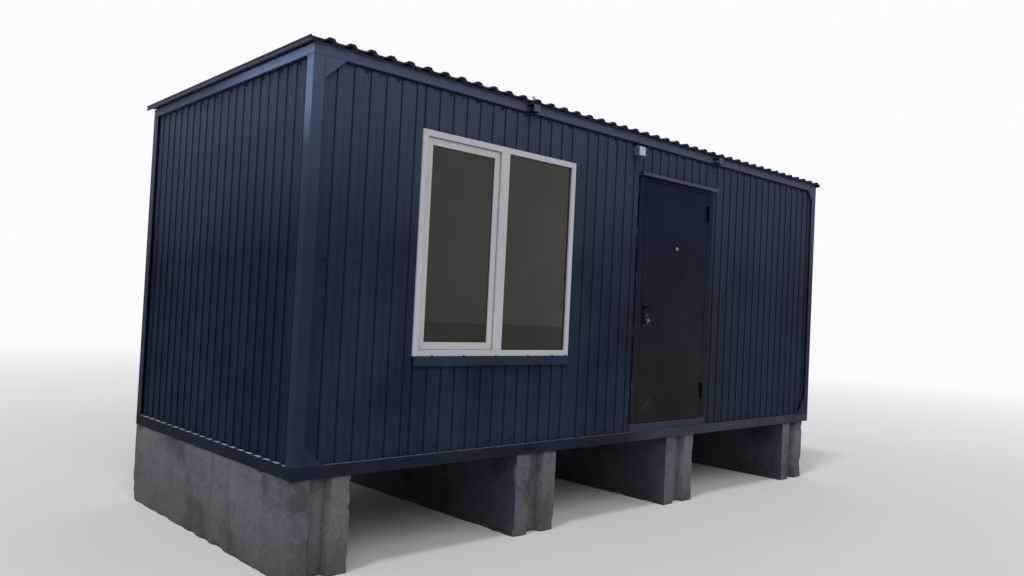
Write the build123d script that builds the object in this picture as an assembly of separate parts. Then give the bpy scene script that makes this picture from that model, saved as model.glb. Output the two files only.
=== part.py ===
from build123d import *
import math
import os

# Portable site cabin: a welded steel frame with insulated walls, profiled sheet cladding and
# a profiled sheet roof, standing on four precast concrete foundation blocks.
# Millimetres, +Z up. Every piece is set out from the left front corner of the steel frame at
# the frame's underside: X along the front, Y into the depth, Z up. The function in_place moves
# it from there to the part's own origin, the middle of the plan outline at ground level.

# Steel frame. Its height is that of the front: the roof frame falls towards the back
cabin_length = 6000
cabin_width = 2450
frame_height = 2480
roof_fall = 35
steel_gauge = 5
base_rail_height = 75
base_rail_depth = 60
top_rail_height = 54
top_rail_depth = 60
post_leg = 75
top_left_gusset_along = 144
top_left_gusset_rise = 132
top_right_gusset_along = 88
top_right_gusset_rise = 95
bottom_left_gusset_along = 124
bottom_left_gusset_rise = 114
bottom_right_gusset_along = 130
bottom_right_gusset_rise = 180

# Foundation blocks: the first three set out from the left end, the last from the right end
block_setback = 10
block_width = 398
block_height = 580
first_block_inset = 200
block_spacing = 1762
last_block_inset = 290
block_groove_mouth = 140
block_groove_root = 96
block_groove_depth = 55
block_chamfer = 6

# Floor
joist_width = 50
joist_count = 11
subfloor_thickness = 5
deck_thickness = 22

# Walls, cladding and ceiling
cladding_setback = 20
cladding_depth = 8
cladding_pitch = 115
cladding_crown = 50
cladding_slope = 8
sheet_gauge = 1
wall_thickness = 80
ceiling_thickness = 20
purlin_width = 50
purlin_count = 3

# Front cladding in four lapped sheets, and the sheets of back and ends: the middle of each
# one's first crown, from the left end or the front of the frame
first_sheet_crown = 85
second_sheet_crown = 846
third_sheet_crown = 2404
fourth_sheet_crown = 4181
end_sheet_crown = 144

# Roof sheet on a ring of battens, with its ribs running from front to back
batten_height = 20
batten_width = 40
batten_setback = 12
roof_overhang_front = 40
roof_overhang_back = 50
roof_overhang_left = 45
roof_overhang_right = 15
roof_pitch = 139.5
roof_crown = 35
roof_slope = 17.5
roof_rib_height = 20
roof_edge_rise = 9
roof_edge_slope = 8
roof_first_crown = 86

# Window, from the left end of the frame and the underside of the top rail
window_left = 805
wall_over_window = 282
window_width = 1434
window_height = 1445
window_proud = 8
window_frame_face = 40
window_frame_depth = 60
window_lip = 14
window_sash_overlap = 10
window_sash_face = 60
window_sash_depth = 40
window_pane_inset = 16
pane_thickness = 24
mullion_left = 677
mullion_width = 77
sill_height = 60
sill_reach = 22
sill_fall = 5
sill_drop = 4

# Door, hung at its right edge and opening outwards
door_frame_left = 3019
wall_over_door = 252
door_jamb_width = 77
door_head_height = 34
door_threshold_height = 64
door_proud = 10
door_stop = 14
door_stop_depth = 30
leaf_width = 903
leaf_thickness = 50
leaf_clearance = 5
drip_cap_reach = 38
drip_cap_lip = 26
drip_cap_fall = 3
drip_cap_overrun = 34
drip_cap_gauge = 2

# Door hinges
hinge_height = 140
hinge_radius = 9
hinge_axis_out = 12
hinge_axis_aside = 2
hinge_pin_radius = 5
hinge_tab_length = 30
hinge_tab_thickness = 6
hinge_above_leaf_bottom = 238
hinge_below_leaf_top = 173
hinge_running_gap = 0.3

# Lock plate, lever and peephole, from the leaf's free edge and lower edge
plate_width = 44
plate_height = 200
plate_thickness = 6
plate_edge = 18
plate_bottom = 788
lever_height = 166
lever_neck_radius = 9
lever_neck_length = 42
lever_length = 118
lever_width = 20
lever_thickness = 12
lever_running_gap = 0.3
cylinder_height = 96
cylinder_radius = 9
cylinder_length = 4
peephole_middle = 456
peephole_height = 1468
peephole_radius = 13
peephole_length = 4

# Lifting lugs on the top rails, and the bent rod loop on the first one in front
left_lug_inset = 1718
right_lug_inset = 1938
lug_width = 64
lug_height = 50
lug_drop = 6
lug_reach = 72
lug_wall = 5
loop_rod_radius = 4
loop_rod_sides = 12
loop_height = 69
loop_span = 54
loop_bend = 7
loop_inset = 20

# Floodlight, to the left of the door frame and above it
light_aside = 122
light_above = 136
light_width = 88
light_height = 77
light_depth = 26
light_standoff = 37
light_fin_depth = 12
light_fin_thickness = 4
light_fin_count = 6
light_lens_depth = 3
light_lens_border = 4
light_bracket_width = 46
light_bracket_height = 40
light_bracket_plate = 5
light_gland_radius = 5
light_gland_length = 12

# Levels and faces that follow from the sizes above
wall_bottom = base_rail_height
wall_top = frame_height - top_rail_height
wall_height = wall_top - wall_bottom
wall_face = cladding_setback + cladding_depth
wall_inside = wall_face + wall_thickness
floor_top = base_rail_height + deck_thickness
window_right = window_left + window_width
window_top = wall_top - wall_over_window
window_bottom = window_top - window_height
window_face = cladding_setback - window_proud
door_face = cladding_setback - door_proud
leaf_left = door_frame_left + door_jamb_width + leaf_clearance
leaf_right = leaf_left + leaf_width
leaf_bottom = wall_bottom + door_threshold_height + leaf_clearance
door_frame_top = wall_top - wall_over_door
leaf_top = door_frame_top - door_head_height - leaf_clearance
door_frame_right = leaf_right + leaf_clearance + door_jamb_width
hinge_x = leaf_right + hinge_axis_aside
hinge_y = door_face - hinge_axis_out
lug_bottom = wall_top - lug_drop
lug_top = lug_bottom + lug_height
light_left = door_frame_left - light_aside
light_bottom = door_frame_top + light_above
roof_level = frame_height + batten_height
roof_tilt = math.degrees(math.atan(roof_fall / cabin_width))
front_reach = max(roof_overhang_front, lug_reach)
back_reach = max(roof_overhang_back, lug_reach)


def in_place(shape):
    """Move a piece from the frame's corner to the part's own origin."""
    x_shift = -(cabin_length + roof_overhang_left + roof_overhang_right) / 2 + roof_overhang_left
    y_shift = -(cabin_width + front_reach + back_reach) / 2 + front_reach
    return Pos(x_shift, y_shift, block_height) * shape


def slab(x0, x1, y0, y1, z0, z1):
    """A rectangular piece between two corners."""
    middle = Pos((x0 + x1) / 2, (y0 + y1) / 2, (z0 + z1) / 2)
    return middle * Box(x1 - x0, y1 - y0, z1 - z0)


def prism(outline, plane, length):
    """A closed outline of points in a plane, extruded along the plane's normal."""
    return extrude(plane * make_face(Polyline(*outline, close=True)), amount=length)


def mirrored_to_back(shape):
    """The same piece on the back of the cabin, mirrored about the middle of its depth."""
    return mirror(shape, Plane.XZ.offset(-cabin_width / 2))


def tilted(shape):
    """A piece of the level roof frame, turned down to the back about its lower front edge."""
    return Pos(0, 0, wall_top) * Rot(-roof_tilt, 0, 0) * Pos(0, 0, -wall_top) * shape


def under_roof(shape):
    """A piece cut off along the sloping underside of the roof frame."""
    roof_space = slab(
        -post_leg,
        cabin_length + post_leg,
        -post_leg,
        cabin_width + post_leg,
        wall_top,
        roof_level,
    )
    return shape - tilted(roof_space)


def crowns(first, limit, pitch, crown, slope, height):
    """Corner points of a sheet's whole crowns: distance along it and height."""
    reach = crown / 2 + slope
    points = []
    middle = first
    while middle + reach < limit:
        points += [
            (middle - reach, 0),
            (middle - crown / 2, height),
            (middle + crown / 2, height),
            (middle + reach, 0),
        ]
        middle += pitch
    return points


def foundation_block(middle):
    """Precast block laid across the cabin, with an upright groove in each end face."""
    front = block_setback
    body = slab(
        middle - block_width / 2,
        middle + block_width / 2,
        front,
        cabin_width - block_setback,
        -block_height,
        0,
    )
    body = chamfer(body.edges().filter_by(Axis.Z), block_chamfer)
    groove = prism(
        [
            (middle - block_groove_mouth / 2, front),
            (middle - block_groove_root / 2, front + block_groove_depth),
            (middle + block_groove_root / 2, front + block_groove_depth),
            (middle + block_groove_mouth / 2, front),
        ],
        Plane.XY.offset(-block_height),
        block_height,
    )
    return body - groove - mirrored_to_back(groove)


def mitred_rail(length, height, depth):
    """Channel rail with its web outside, mitred at both ends to meet the next rails."""
    channel = prism(
        [
            (0, 0),
            (depth, 0),
            (depth, steel_gauge),
            (steel_gauge, steel_gauge),
            (steel_gauge, height - steel_gauge),
            (depth, height - steel_gauge),
            (depth, height),
            (0, height),
        ],
        Plane.YZ,
        length,
    )
    mitre = prism(
        [(0, 0), (length, 0), (length - depth, depth), (depth, depth)], Plane.XY, height
    )
    return channel & mitre


def rail_ring(level, height, depth):
    """The four rails of the floor frame or roof frame: front, back, left and right."""
    long_rail = mitred_rail(cabin_length, height, depth)
    end_rail = mitred_rail(cabin_width, height, depth)
    return (
        Pos(0, 0, level) * long_rail,
        Pos(cabin_length, cabin_width, level) * Rot(0, 0, 180) * long_rail,
        Pos(0, cabin_width, level) * Rot(0, 0, -90) * end_rail,
        Pos(cabin_length, 0, level) * Rot(0, 0, 90) * end_rail,
    )


def corner_posts():
    """Four angle posts, their heels outwards, between the base rails and the top rails."""
    post = prism(
        [
            (0, 0),
            (post_leg, 0),
            (post_leg, steel_gauge),
            (steel_gauge, steel_gauge),
            (steel_gauge, post_leg),
            (0, post_leg),
        ],
        Plane.XY.offset(wall_bottom),
        wall_height,
    )
    posts = [
        post,
        Pos(cabin_length, 0, 0) * Rot(0, 0, 90) * post,
        Pos(cabin_length, cabin_width, 0) * Rot(0, 0, 180) * post,
        Pos(0, cabin_width, 0) * Rot(0, 0, -90) * post,
    ]
    return Compound(children=[under_roof(standing) for standing in posts])


def corner_gussets():
    """Triangular plates between posts and rails, flush with the faces of front and back."""
    left = post_leg
    right = cabin_length - post_leg
    fall_at_back = roof_fall * (cabin_width - steel_gauge) / cabin_width
    plates = []
    for x, z, along, rise, back_drop in (
        (left, wall_bottom, bottom_left_gusset_along, bottom_left_gusset_rise, 0),
        (right, wall_bottom, -bottom_right_gusset_along, bottom_right_gusset_rise, 0),
        (left, wall_top, top_left_gusset_along, -top_left_gusset_rise, fall_at_back),
        (right, wall_top, -top_right_gusset_along, -top_right_gusset_rise, fall_at_back),
    ):
        plate = prism(
            [(x, z), (x + along, z), (x, z + rise)],
            Plane.XZ.offset(-steel_gauge),
            steel_gauge,
        )
        plates += [plate, Pos(0, 0, -back_drop) * mirrored_to_back(plate)]
    return Compound(children=[under_roof(plate) for plate in plates])


def floor_joists():
    """Joists across the cabin, held between the flanges of the long base rails."""
    first = base_rail_depth + joist_width / 2
    step = (cabin_length - 2 * first) / (joist_count - 1)
    joists = []
    for index in range(joist_count):
        middle = first + index * step
        joists.append(
            slab(
                middle - joist_width / 2,
                middle + joist_width / 2,
                steel_gauge,
                cabin_width - steel_gauge,
                steel_gauge,
                base_rail_height - subfloor_thickness,
            )
        )
    return Compound(children=joists)


def subfloor():
    """Sheet laid on the joists, flush with the rails' upper flanges."""
    return slab(
        base_rail_depth,
        cabin_length - base_rail_depth,
        base_rail_depth,
        cabin_width - base_rail_depth,
        base_rail_height - subfloor_thickness,
        base_rail_height,
    )


def floor_deck():
    """Boarded floor inside the walls."""
    return slab(
        wall_inside,
        cabin_length - wall_inside,
        wall_inside,
        cabin_width - wall_inside,
        base_rail_height,
        floor_top,
    )


def front_wall():
    """Insulated wall in plain slabs round the window and the door."""
    right_end = cabin_length - wall_face
    spans = {
        "front_wall_left": (wall_face, window_left, wall_bottom, wall_top),
        "front_wall_below_window": (window_left, window_right, wall_bottom, window_bottom),
        "front_wall_above_window": (window_left, window_right, window_top, wall_top),
        "front_wall_middle": (window_right, door_frame_left, wall_bottom, wall_top),
        "front_wall_above_door": (door_frame_left, door_frame_right, door_frame_top, wall_top),
        "front_wall_right": (door_frame_right, right_end, wall_bottom, wall_top),
    }
    return {
        name: under_roof(slab(x0, x1, wall_face, wall_inside, z0, z1))
        for name, (x0, x1, z0, z1) in spans.items()
    }


def back_wall():
    """Insulated wall of the back, as long as the front wall."""
    wall = slab(
        wall_face,
        cabin_length - wall_face,
        cabin_width - wall_inside,
        cabin_width - wall_face,
        wall_bottom,
        wall_top,
    )
    return under_roof(wall)


def end_wall(outer_face, inner_face):
    """Insulated wall across one end, between the front wall and the back wall."""
    wall = slab(
        min(outer_face, inner_face),
        max(outer_face, inner_face),
        wall_inside,
        cabin_width - wall_inside,
        wall_bottom,
        wall_top,
    )
    return under_roof(wall)


def cladding_face(length, first_crowns):
    """Sheets with upright ribs towards -Y in front of a wall, lapped where one has its first crown."""
    reach = cladding_crown / 2 + cladding_slope
    limits = [crown - reach for crown in first_crowns[1:]] + [length - wall_face]
    section = [(wall_face, 0)]
    for first_crown, limit in zip(first_crowns, limits):
        section += crowns(
            first_crown,
            limit,
            cladding_pitch,
            cladding_crown,
            cladding_slope,
            cladding_depth - sheet_gauge,
        )
    section.append((length - wall_face, 0))
    inside = [(along, wall_face - height) for along, height in section]
    outside = [(along, across - sheet_gauge) for along, across in reversed(inside)]
    return prism(inside + outside, Plane.XY.offset(wall_bottom), wall_height)


def cladding():
    """The four faces of cladding, with the window and the door cut from the front."""
    front_crowns = [first_sheet_crown, second_sheet_crown, third_sheet_crown, fourth_sheet_crown]
    window_hole = slab(window_left, window_right, 0, wall_face, window_bottom, window_top)
    door_hole = slab(
        door_frame_left, door_frame_right, 0, wall_face, wall_bottom, door_frame_top
    )
    front = cladding_face(cabin_length, front_crowns) - window_hole - door_hole
    right = Pos(cabin_length, 0, 0) * Rot(0, 0, 90) * cladding_face(cabin_width, [end_sheet_crown])
    back = mirrored_to_back(cladding_face(cabin_length, [first_sheet_crown]))
    right = under_roof(right)
    return {
        "cladding_front": under_roof(front),
        "cladding_back": under_roof(back),
        "cladding_left": mirror(right, Plane.YZ.offset(cabin_length / 2)),
        "cladding_right": right,
    }


def ceiling():
    """Ceiling board on the wall tops, between the lower flanges of the top rails."""
    return slab(
        top_rail_depth,
        cabin_length - top_rail_depth,
        top_rail_depth,
        cabin_width - top_rail_depth,
        wall_top,
        wall_top + ceiling_thickness,
    )


def roof_purlins():
    """A ring of battens on the top rails, and purlins on the ceiling board inside it."""
    far_x = cabin_length - batten_setback
    far_y = cabin_width - batten_setback
    ring = slab(batten_setback, far_x, batten_setback, far_y, frame_height, roof_level)
    inside = slab(
        batten_setback + batten_width,
        far_x - batten_width,
        batten_setback + batten_width,
        far_y - batten_width,
        frame_height,
        roof_level,
    )
    timbers = [ring - inside]
    step = cabin_width / (purlin_count + 1)
    for index in range(purlin_count):
        middle = (index + 1) * step
        timbers.append(
            slab(
                top_rail_depth,
                cabin_length - top_rail_depth,
                middle - purlin_width / 2,
                middle + purlin_width / 2,
                wall_top + ceiling_thickness,
                roof_level,
            )
        )
    return Compound(children=timbers)


def roof_sheet():
    """Roof sheet laid on the battens, ribbed from front to back, its two edges turned up."""
    left = -roof_overhang_left
    right = cabin_length + roof_overhang_right
    height = roof_rib_height - sheet_gauge
    section = [(left, roof_edge_rise), (left + roof_edge_slope, 0)]
    section += crowns(
        roof_first_crown,
        right - roof_edge_slope,
        roof_pitch,
        roof_crown,
        roof_slope,
        height,
    )
    section += [(right - roof_edge_slope, 0), (right, roof_edge_rise)]
    under = [(along, roof_level + rise) for along, rise in section]
    over = [(along, level + sheet_gauge) for along, level in reversed(under)]
    length = roof_overhang_front + cabin_width + roof_overhang_back
    return prism(under + over, Plane.XZ.offset(-cabin_width - roof_overhang_back), length)


def window_frame():
    """White frame with one mullion. A lip round the left light holds the sash behind it."""
    back = window_face + window_frame_depth
    ring = slab(window_left, window_right, window_face, back, window_bottom, window_top)
    low = window_bottom + window_frame_face
    high = window_top - window_frame_face
    light_left_edge = window_left + window_frame_face
    light_right_edge = window_left + mullion_left
    pane_left_edge = light_right_edge + mullion_width
    pane_right_edge = window_right - window_frame_face
    rebate = window_face + window_lip
    opening = slab(light_left_edge, light_right_edge, window_face, back, low, high)
    seat = slab(
        light_left_edge - window_sash_overlap,
        light_right_edge + window_sash_overlap,
        rebate,
        back,
        low - window_sash_overlap,
        high + window_sash_overlap,
    )
    fixed_light = slab(pane_left_edge, pane_right_edge, window_face, back, low, high)
    return ring - opening - seat - fixed_light


def window_sash():
    """The opening sash, seated against the lip of the frame's left light."""
    reach = window_frame_face - window_sash_overlap
    x0 = window_left + reach
    x1 = window_left + mullion_left + window_sash_overlap
    z0 = window_bottom + reach
    z1 = window_top - reach
    y0 = window_face + window_lip
    y1 = y0 + window_sash_depth
    ring = slab(x0, x1, y0, y1, z0, z1)
    hole = slab(
        x0 + window_sash_face,
        x1 - window_sash_face,
        y0,
        y1,
        z0 + window_sash_face,
        z1 - window_sash_face,
    )
    return ring - hole


def window_panes():
    """Two sealed panes: one in the sash, one in the frame's fixed right light."""
    reach = window_frame_face - window_sash_overlap + window_sash_face
    sash_pane_face = window_face + window_lip + (window_sash_depth - pane_thickness) / 2
    sash_pane = slab(
        window_left + reach,
        window_left + mullion_left + window_sash_overlap - window_sash_face,
        sash_pane_face,
        sash_pane_face + pane_thickness,
        window_bottom + reach,
        window_top - reach,
    )
    fixed_pane_face = window_face + window_pane_inset
    fixed_pane = slab(
        window_left + mullion_left + mullion_width,
        window_right - window_frame_face,
        fixed_pane_face,
        fixed_pane_face + pane_thickness,
        window_bottom + window_frame_face,
        window_top - window_frame_face,
    )
    return Compound(children=[sash_pane, fixed_pane])


def window_sill():
    """Folded sheet sill on the cladding under the window: a sloping top and a deep front."""
    back = cladding_setback
    front = cladding_setback - sill_reach
    top = window_bottom - sill_drop
    outline = [
        (back, top),
        (front, top - sill_fall),
        (front, top - sill_height),
        (back, top - sill_height),
        (back, top - sill_height + sheet_gauge),
        (front + sheet_gauge, top - sill_height + sheet_gauge),
        (front + sheet_gauge, top - sill_fall - sheet_gauge),
        (back, top - sheet_gauge),
    ]
    return prism(outline, Plane.YZ.offset(window_left), window_width)


def door_frame():
    """Folded steel door frame: two jambs, a head, a threshold and a stop all round."""
    left = door_frame_left + door_jamb_width
    right = door_frame_right - door_jamb_width
    low = wall_bottom + door_threshold_height
    high = door_frame_top - door_head_height
    ring = slab(
        door_frame_left, door_frame_right, door_face, wall_inside, wall_bottom, door_frame_top
    )
    rebate_back = door_face + leaf_thickness + leaf_clearance
    rebate = slab(left, right, door_face, rebate_back, low, high)
    passage = slab(
        left + door_stop, right - door_stop, rebate_back, wall_inside, low, high - door_stop
    )
    behind_stop = slab(
        left, right, rebate_back + door_stop_depth, wall_inside, low, high
    )
    return ring - rebate - passage - behind_stop


def door_leaf():
    """Flush steel door leaf, its face in line with the frame's face."""
    return slab(
        leaf_left,
        leaf_right,
        door_face,
        door_face + leaf_thickness,
        leaf_bottom,
        leaf_top,
    )


def hinge_half(level, height, side):
    """One knuckle with its weld tab towards the leaf (-1) or the frame (1)."""
    knuckle = Pos(hinge_x, hinge_y, level + height / 2) * Cylinder(hinge_radius, height)
    tab = slab(
        min(hinge_x, hinge_x + side * hinge_tab_length),
        max(hinge_x, hinge_x + side * hinge_tab_length),
        door_face - hinge_tab_thickness,
        door_face,
        level,
        level + height,
    )
    return knuckle + tab


def hinges():
    """Lower knuckles with pins on the frame, upper knuckles with bores on the leaf."""
    frame_halves = []
    leaf_halves = []
    half = hinge_height / 2
    for level in (leaf_bottom + hinge_above_leaf_bottom, leaf_top - hinge_below_leaf_top):
        pin = Pos(hinge_x, hinge_y, level) * Cylinder(hinge_pin_radius, hinge_height)
        lower = hinge_half(level - half, half - hinge_running_gap, 1)
        frame_halves.append(lower + pin)
        bore = Pos(hinge_x, hinge_y, level) * Cylinder(
            hinge_pin_radius + hinge_running_gap, hinge_height
        )
        leaf_halves.append(hinge_half(level, half, -1) - bore)
    return Compound(children=frame_halves), Compound(children=leaf_halves)


def lock_plates():
    """Lock plates on both faces of the leaf, with the ends of the lock cylinder."""
    x0 = leaf_left + plate_edge
    z0 = leaf_bottom + plate_bottom
    plates = []
    for face, out in ((door_face, -1), (door_face + leaf_thickness, 1)):
        outline = Rectangle(plate_width, plate_height)
        outline = fillet(outline.vertices(), plate_width / 4)
        seat = Plane(
            origin=(x0 + plate_width / 2, face, z0 + plate_height / 2),
            x_dir=(1, 0, 0),
            z_dir=(0, out, 0),
        )
        plate = extrude(seat * outline, amount=plate_thickness)
        end = Plane(
            origin=(x0 + plate_width / 2, face, z0 + cylinder_height),
            x_dir=(1, 0, 0),
            z_dir=(0, out, 0),
        )
        cylinder = extrude(end * Circle(cylinder_radius), amount=plate_thickness + cylinder_length)
        plates.append(plate + cylinder)
    return Compound(children=plates)


def door_levers():
    """Lever handles outside and inside, turning together on the lock's spindle."""
    x = leaf_left + plate_edge + plate_width / 2
    z = leaf_bottom + plate_bottom + lever_height
    levers = []
    for face, out in (
        (door_face - plate_thickness - lever_running_gap, -1),
        (door_face + leaf_thickness + plate_thickness + lever_running_gap, 1),
    ):
        seat = Plane(origin=(x, face, z), x_dir=(1, 0, 0), z_dir=(0, out, 0))
        neck = extrude(seat * Circle(lever_neck_radius), amount=lever_neck_length)
        grip_seat = seat.offset(lever_neck_length - lever_thickness)
        grip_middle = lever_length / 2 - lever_width / 2
        grip = extrude(
            grip_seat * Pos(grip_middle, 0) * SlotOverall(lever_length, lever_width),
            amount=lever_thickness,
        )
        levers.append(neck + grip)
    return Compound(children=levers)


def peephole():
    """Ring of the door viewer on the leaf's outer face."""
    seat = Plane(
        origin=(leaf_left + peephole_middle, door_face, leaf_bottom + peephole_height),
        x_dir=(1, 0, 0),
        z_dir=(0, -1, 0),
    )
    return extrude(seat * Circle(peephole_radius), amount=peephole_length)


def door_drip_cap():
    """Folded strip over the door: a leg on the cladding, a falling top and a lip in front."""
    back = cladding_setback
    front = cladding_setback - drip_cap_reach
    low = door_frame_top
    high = low + drip_cap_lip + drip_cap_fall
    outline = [
        (back, low),
        (back, high),
        (front, high - drip_cap_fall),
        (front, low),
        (front + drip_cap_gauge, low),
        (front + drip_cap_gauge, high - drip_cap_fall - drip_cap_gauge),
        (back - drip_cap_gauge, high - drip_cap_gauge),
        (back - drip_cap_gauge, low),
    ]
    width = door_frame_right - door_frame_left + drip_cap_overrun
    return prism(outline, Plane.YZ.offset(door_frame_left), width)


def lifting_lugs():
    """Short pieces of tube, open to both sides, welded to the webs of the top rails."""
    lugs = []
    for middle in (left_lug_inset, cabin_length - right_lug_inset):
        left = middle - lug_width / 2
        right = middle + lug_width / 2
        outside = slab(left, right, -lug_reach, 0, lug_bottom, lug_top)
        inside = slab(
            left,
            right,
            -lug_reach + lug_wall,
            -lug_wall,
            lug_bottom + lug_wall,
            lug_top - lug_wall,
        )
        lug = outside - inside
        lugs += [lug, mirrored_to_back(lug)]
    return Compound(children=lugs)


def lifting_loop():
    """Loop of bent rod on the first front lug, upright on its left and sloping right."""
    top = lug_top
    left = left_lug_inset - loop_span / 2
    right = left + loop_span
    y = -lug_reach + loop_inset
    path = FilletPolyline(
        (left, y, top),
        (left, y, top + loop_height - loop_rod_radius),
        (right, y, top + 2 * loop_rod_radius),
        (right, y, top),
        radius=loop_bend,
    )
    section = RegularPolygon(loop_rod_radius, loop_rod_sides)
    return sweep(Plane(origin=(left, y, top), z_dir=(0, 0, 1)) * section, path)


def floodlight():
    """Small floodlight: a bracket on the cladding, a finned housing and a pale front glass."""
    middle = light_left + light_width / 2
    level = light_bottom + light_height / 2
    fin_back = cladding_setback - light_standoff
    back = fin_back - light_fin_depth
    front = back - light_depth
    plate = slab(
        middle - light_bracket_width / 2,
        middle + light_bracket_width / 2,
        cladding_setback - light_bracket_plate,
        cladding_setback,
        level - light_bracket_height / 2,
        level + light_bracket_height / 2,
    )
    arm = slab(
        middle - light_bracket_width / 2,
        middle + light_bracket_width / 2,
        back,
        cladding_setback - light_bracket_plate,
        level - light_bracket_plate / 2,
        level + light_bracket_plate / 2,
    )
    housing = slab(
        light_left,
        light_left + light_width,
        front,
        back,
        light_bottom,
        light_bottom + light_height,
    )
    fin_step = (light_width - light_fin_thickness) / (light_fin_count - 1)
    for index in range(light_fin_count):
        fin_left = light_left + index * fin_step
        housing += slab(
            fin_left,
            fin_left + light_fin_thickness,
            back,
            fin_back,
            light_bottom,
            light_bottom + light_height,
        )
    gland_seat = Plane(
        origin=(light_left + light_width - 2 * light_gland_radius, (front + back) / 2, light_bottom),
        z_dir=(0, 0, -1),
    )
    gland = extrude(gland_seat * Circle(light_gland_radius), amount=light_gland_length)
    lens = slab(
        light_left + light_lens_border,
        light_left + light_width - light_lens_border,
        front - light_lens_depth,
        front,
        light_bottom + light_lens_border,
        light_bottom + light_height - light_lens_border,
    )
    return {
        "floodlight_housing": plate + arm + housing + gland,
        "floodlight_glass": lens,
    }


def cabin():
    """All pieces by name, in the setting-out frame."""
    block_middles = [first_block_inset + index * block_spacing for index in range(3)]
    block_middles.append(cabin_length - last_block_inset)
    pieces = {
        f"foundation_block_{number}": foundation_block(middle)
        for number, middle in enumerate(block_middles, start=1)
    }
    base = rail_ring(0, base_rail_height, base_rail_depth)
    pieces["base_rails_long"] = Compound(children=[base[0], base[1]])
    pieces["base_rails_ends"] = Compound(children=[base[2], base[3]])
    top = [tilted(rail) for rail in rail_ring(wall_top, top_rail_height, top_rail_depth)]
    pieces["top_rails_long"] = Compound(children=[top[0], top[1]])
    pieces["top_rails_ends"] = Compound(children=[top[2], top[3]])
    pieces["corner_posts"] = corner_posts()
    pieces["corner_gussets"] = corner_gussets()
    pieces["floor_joists"] = floor_joists()
    pieces["subfloor"] = subfloor()
    pieces["floor_deck"] = floor_deck()
    pieces.update(front_wall())
    pieces["back_wall"] = back_wall()
    pieces["left_wall"] = end_wall(wall_face, wall_inside)
    pieces["right_wall"] = end_wall(cabin_length - wall_face, cabin_length - wall_inside)
    pieces.update(cladding())
    pieces["ceiling"] = tilted(ceiling())
    pieces["roof_purlins"] = tilted(roof_purlins())
    pieces["roof_sheet"] = tilted(roof_sheet())
    pieces["window_frame"] = window_frame()
    pieces["window_sash"] = window_sash()
    pieces["window_panes"] = window_panes()
    pieces["window_sill"] = window_sill()
    pieces["door_frame"] = door_frame()
    pieces["door_leaf"] = door_leaf()
    pieces["hinges_on_frame"], pieces["hinges_on_leaf"] = hinges()
    pieces["door_lock_plates"] = lock_plates()
    pieces["door_levers"] = door_levers()
    pieces["door_peephole"] = peephole()
    pieces["door_drip_cap"] = door_drip_cap()
    pieces["lifting_lugs"] = tilted(lifting_lugs())
    pieces["lifting_loop"] = tilted(lifting_loop())
    pieces.update(floodlight())
    return pieces


os.makedirs("parts", exist_ok=True)
for name, piece in cabin().items():
    export_step(in_place(piece), f"parts/{name}.step")
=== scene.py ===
import math

import bmesh
import bpy
from mathutils import Matrix, Vector, noise


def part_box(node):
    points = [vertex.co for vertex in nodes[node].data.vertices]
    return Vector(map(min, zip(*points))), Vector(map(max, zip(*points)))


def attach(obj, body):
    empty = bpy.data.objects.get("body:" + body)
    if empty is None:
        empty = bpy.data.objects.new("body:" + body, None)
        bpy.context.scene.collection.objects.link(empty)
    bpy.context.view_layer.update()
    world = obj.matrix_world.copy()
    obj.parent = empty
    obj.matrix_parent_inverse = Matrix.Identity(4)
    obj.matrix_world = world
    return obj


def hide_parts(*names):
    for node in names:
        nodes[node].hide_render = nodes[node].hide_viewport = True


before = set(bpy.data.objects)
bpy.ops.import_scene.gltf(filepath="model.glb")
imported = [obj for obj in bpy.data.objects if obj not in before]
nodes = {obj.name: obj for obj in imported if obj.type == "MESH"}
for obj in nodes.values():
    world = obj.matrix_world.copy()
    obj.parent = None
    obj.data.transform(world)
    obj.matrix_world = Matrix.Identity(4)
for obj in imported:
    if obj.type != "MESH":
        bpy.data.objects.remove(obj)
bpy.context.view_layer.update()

# A steel-framed site cabin on four concrete blocks. The script follows the cabin as it is put
# together, in metres: X along the front, Y into the depth, Z up from the ground.
scene = bpy.context.scene
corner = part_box("base_rails_long")[0]
far_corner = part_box("top_rails_long")[1]


# Foundation blocks
# Precast wall blocks of coarse concrete, laid across the cabin. Each has an upright groove in
# both ends, sharp cast edges that have chipped in handling, air holes and water stains.

block_groove_mouth = 0.140
block_groove_root = 0.096
block_groove_depth = 0.055
block_mesh_step = 0.020
block_chip_reach = 0.034
block_chip_depth = 0.030
block_chip_spots = 9.0
block_chip_floor = 0.06
block_skin_depth = 0.0022
block_skin_spots = 14.0
block_noise_shift = 7.3
block_crease = math.radians(38)
concrete_dark = (0.037, 0.046, 0.061, 1)
concrete_pale = (0.113, 0.131, 0.155, 1)
cement_skin = (0.172, 0.191, 0.214, 1)
lime_bloom = (0.172, 0.166, 0.140, 1)
damp_stain = (0.022, 0.024, 0.027, 1)
rain_streak = (0.026, 0.028, 0.030, 1)
dark_grit = (0.052, 0.054, 0.056, 1)
ground_film = (0.031, 0.031, 0.024, 1)
# Painted shade laid in the hollows of the concrete.
hollow_shade_tone = (0.020, 0.022, 0.024, 1)
fresh_chip = (0.150, 0.155, 0.158, 1)
air_hole = (0.012, 0.012, 0.013, 1)
# Painted shade: a blue tint that darkens the block sides under the cabin's floor.
under_floor_shade_tint = (0.34, 0.43, 0.60, 1)
side_shade_from = 0.08
side_shade_over = 0.01
# Heights where the painted sheen on the walls starts and where it is full.
sheen_foot = 1.30
sheen_head = 2.45


def place(tree, kind, inputs=None, **settings):
    """One node in a tree, with its settings, and its inputs as plain values or as links."""
    made = tree.nodes.new(kind)
    for name, value in settings.items():
        setattr(made, name, value)
    for key, value in (inputs or {}).items():
        if isinstance(value, bpy.types.NodeSocket):
            tree.links.new(value, made.inputs[key])
        else:
            made.inputs[key].default_value = value
    return made


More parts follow.
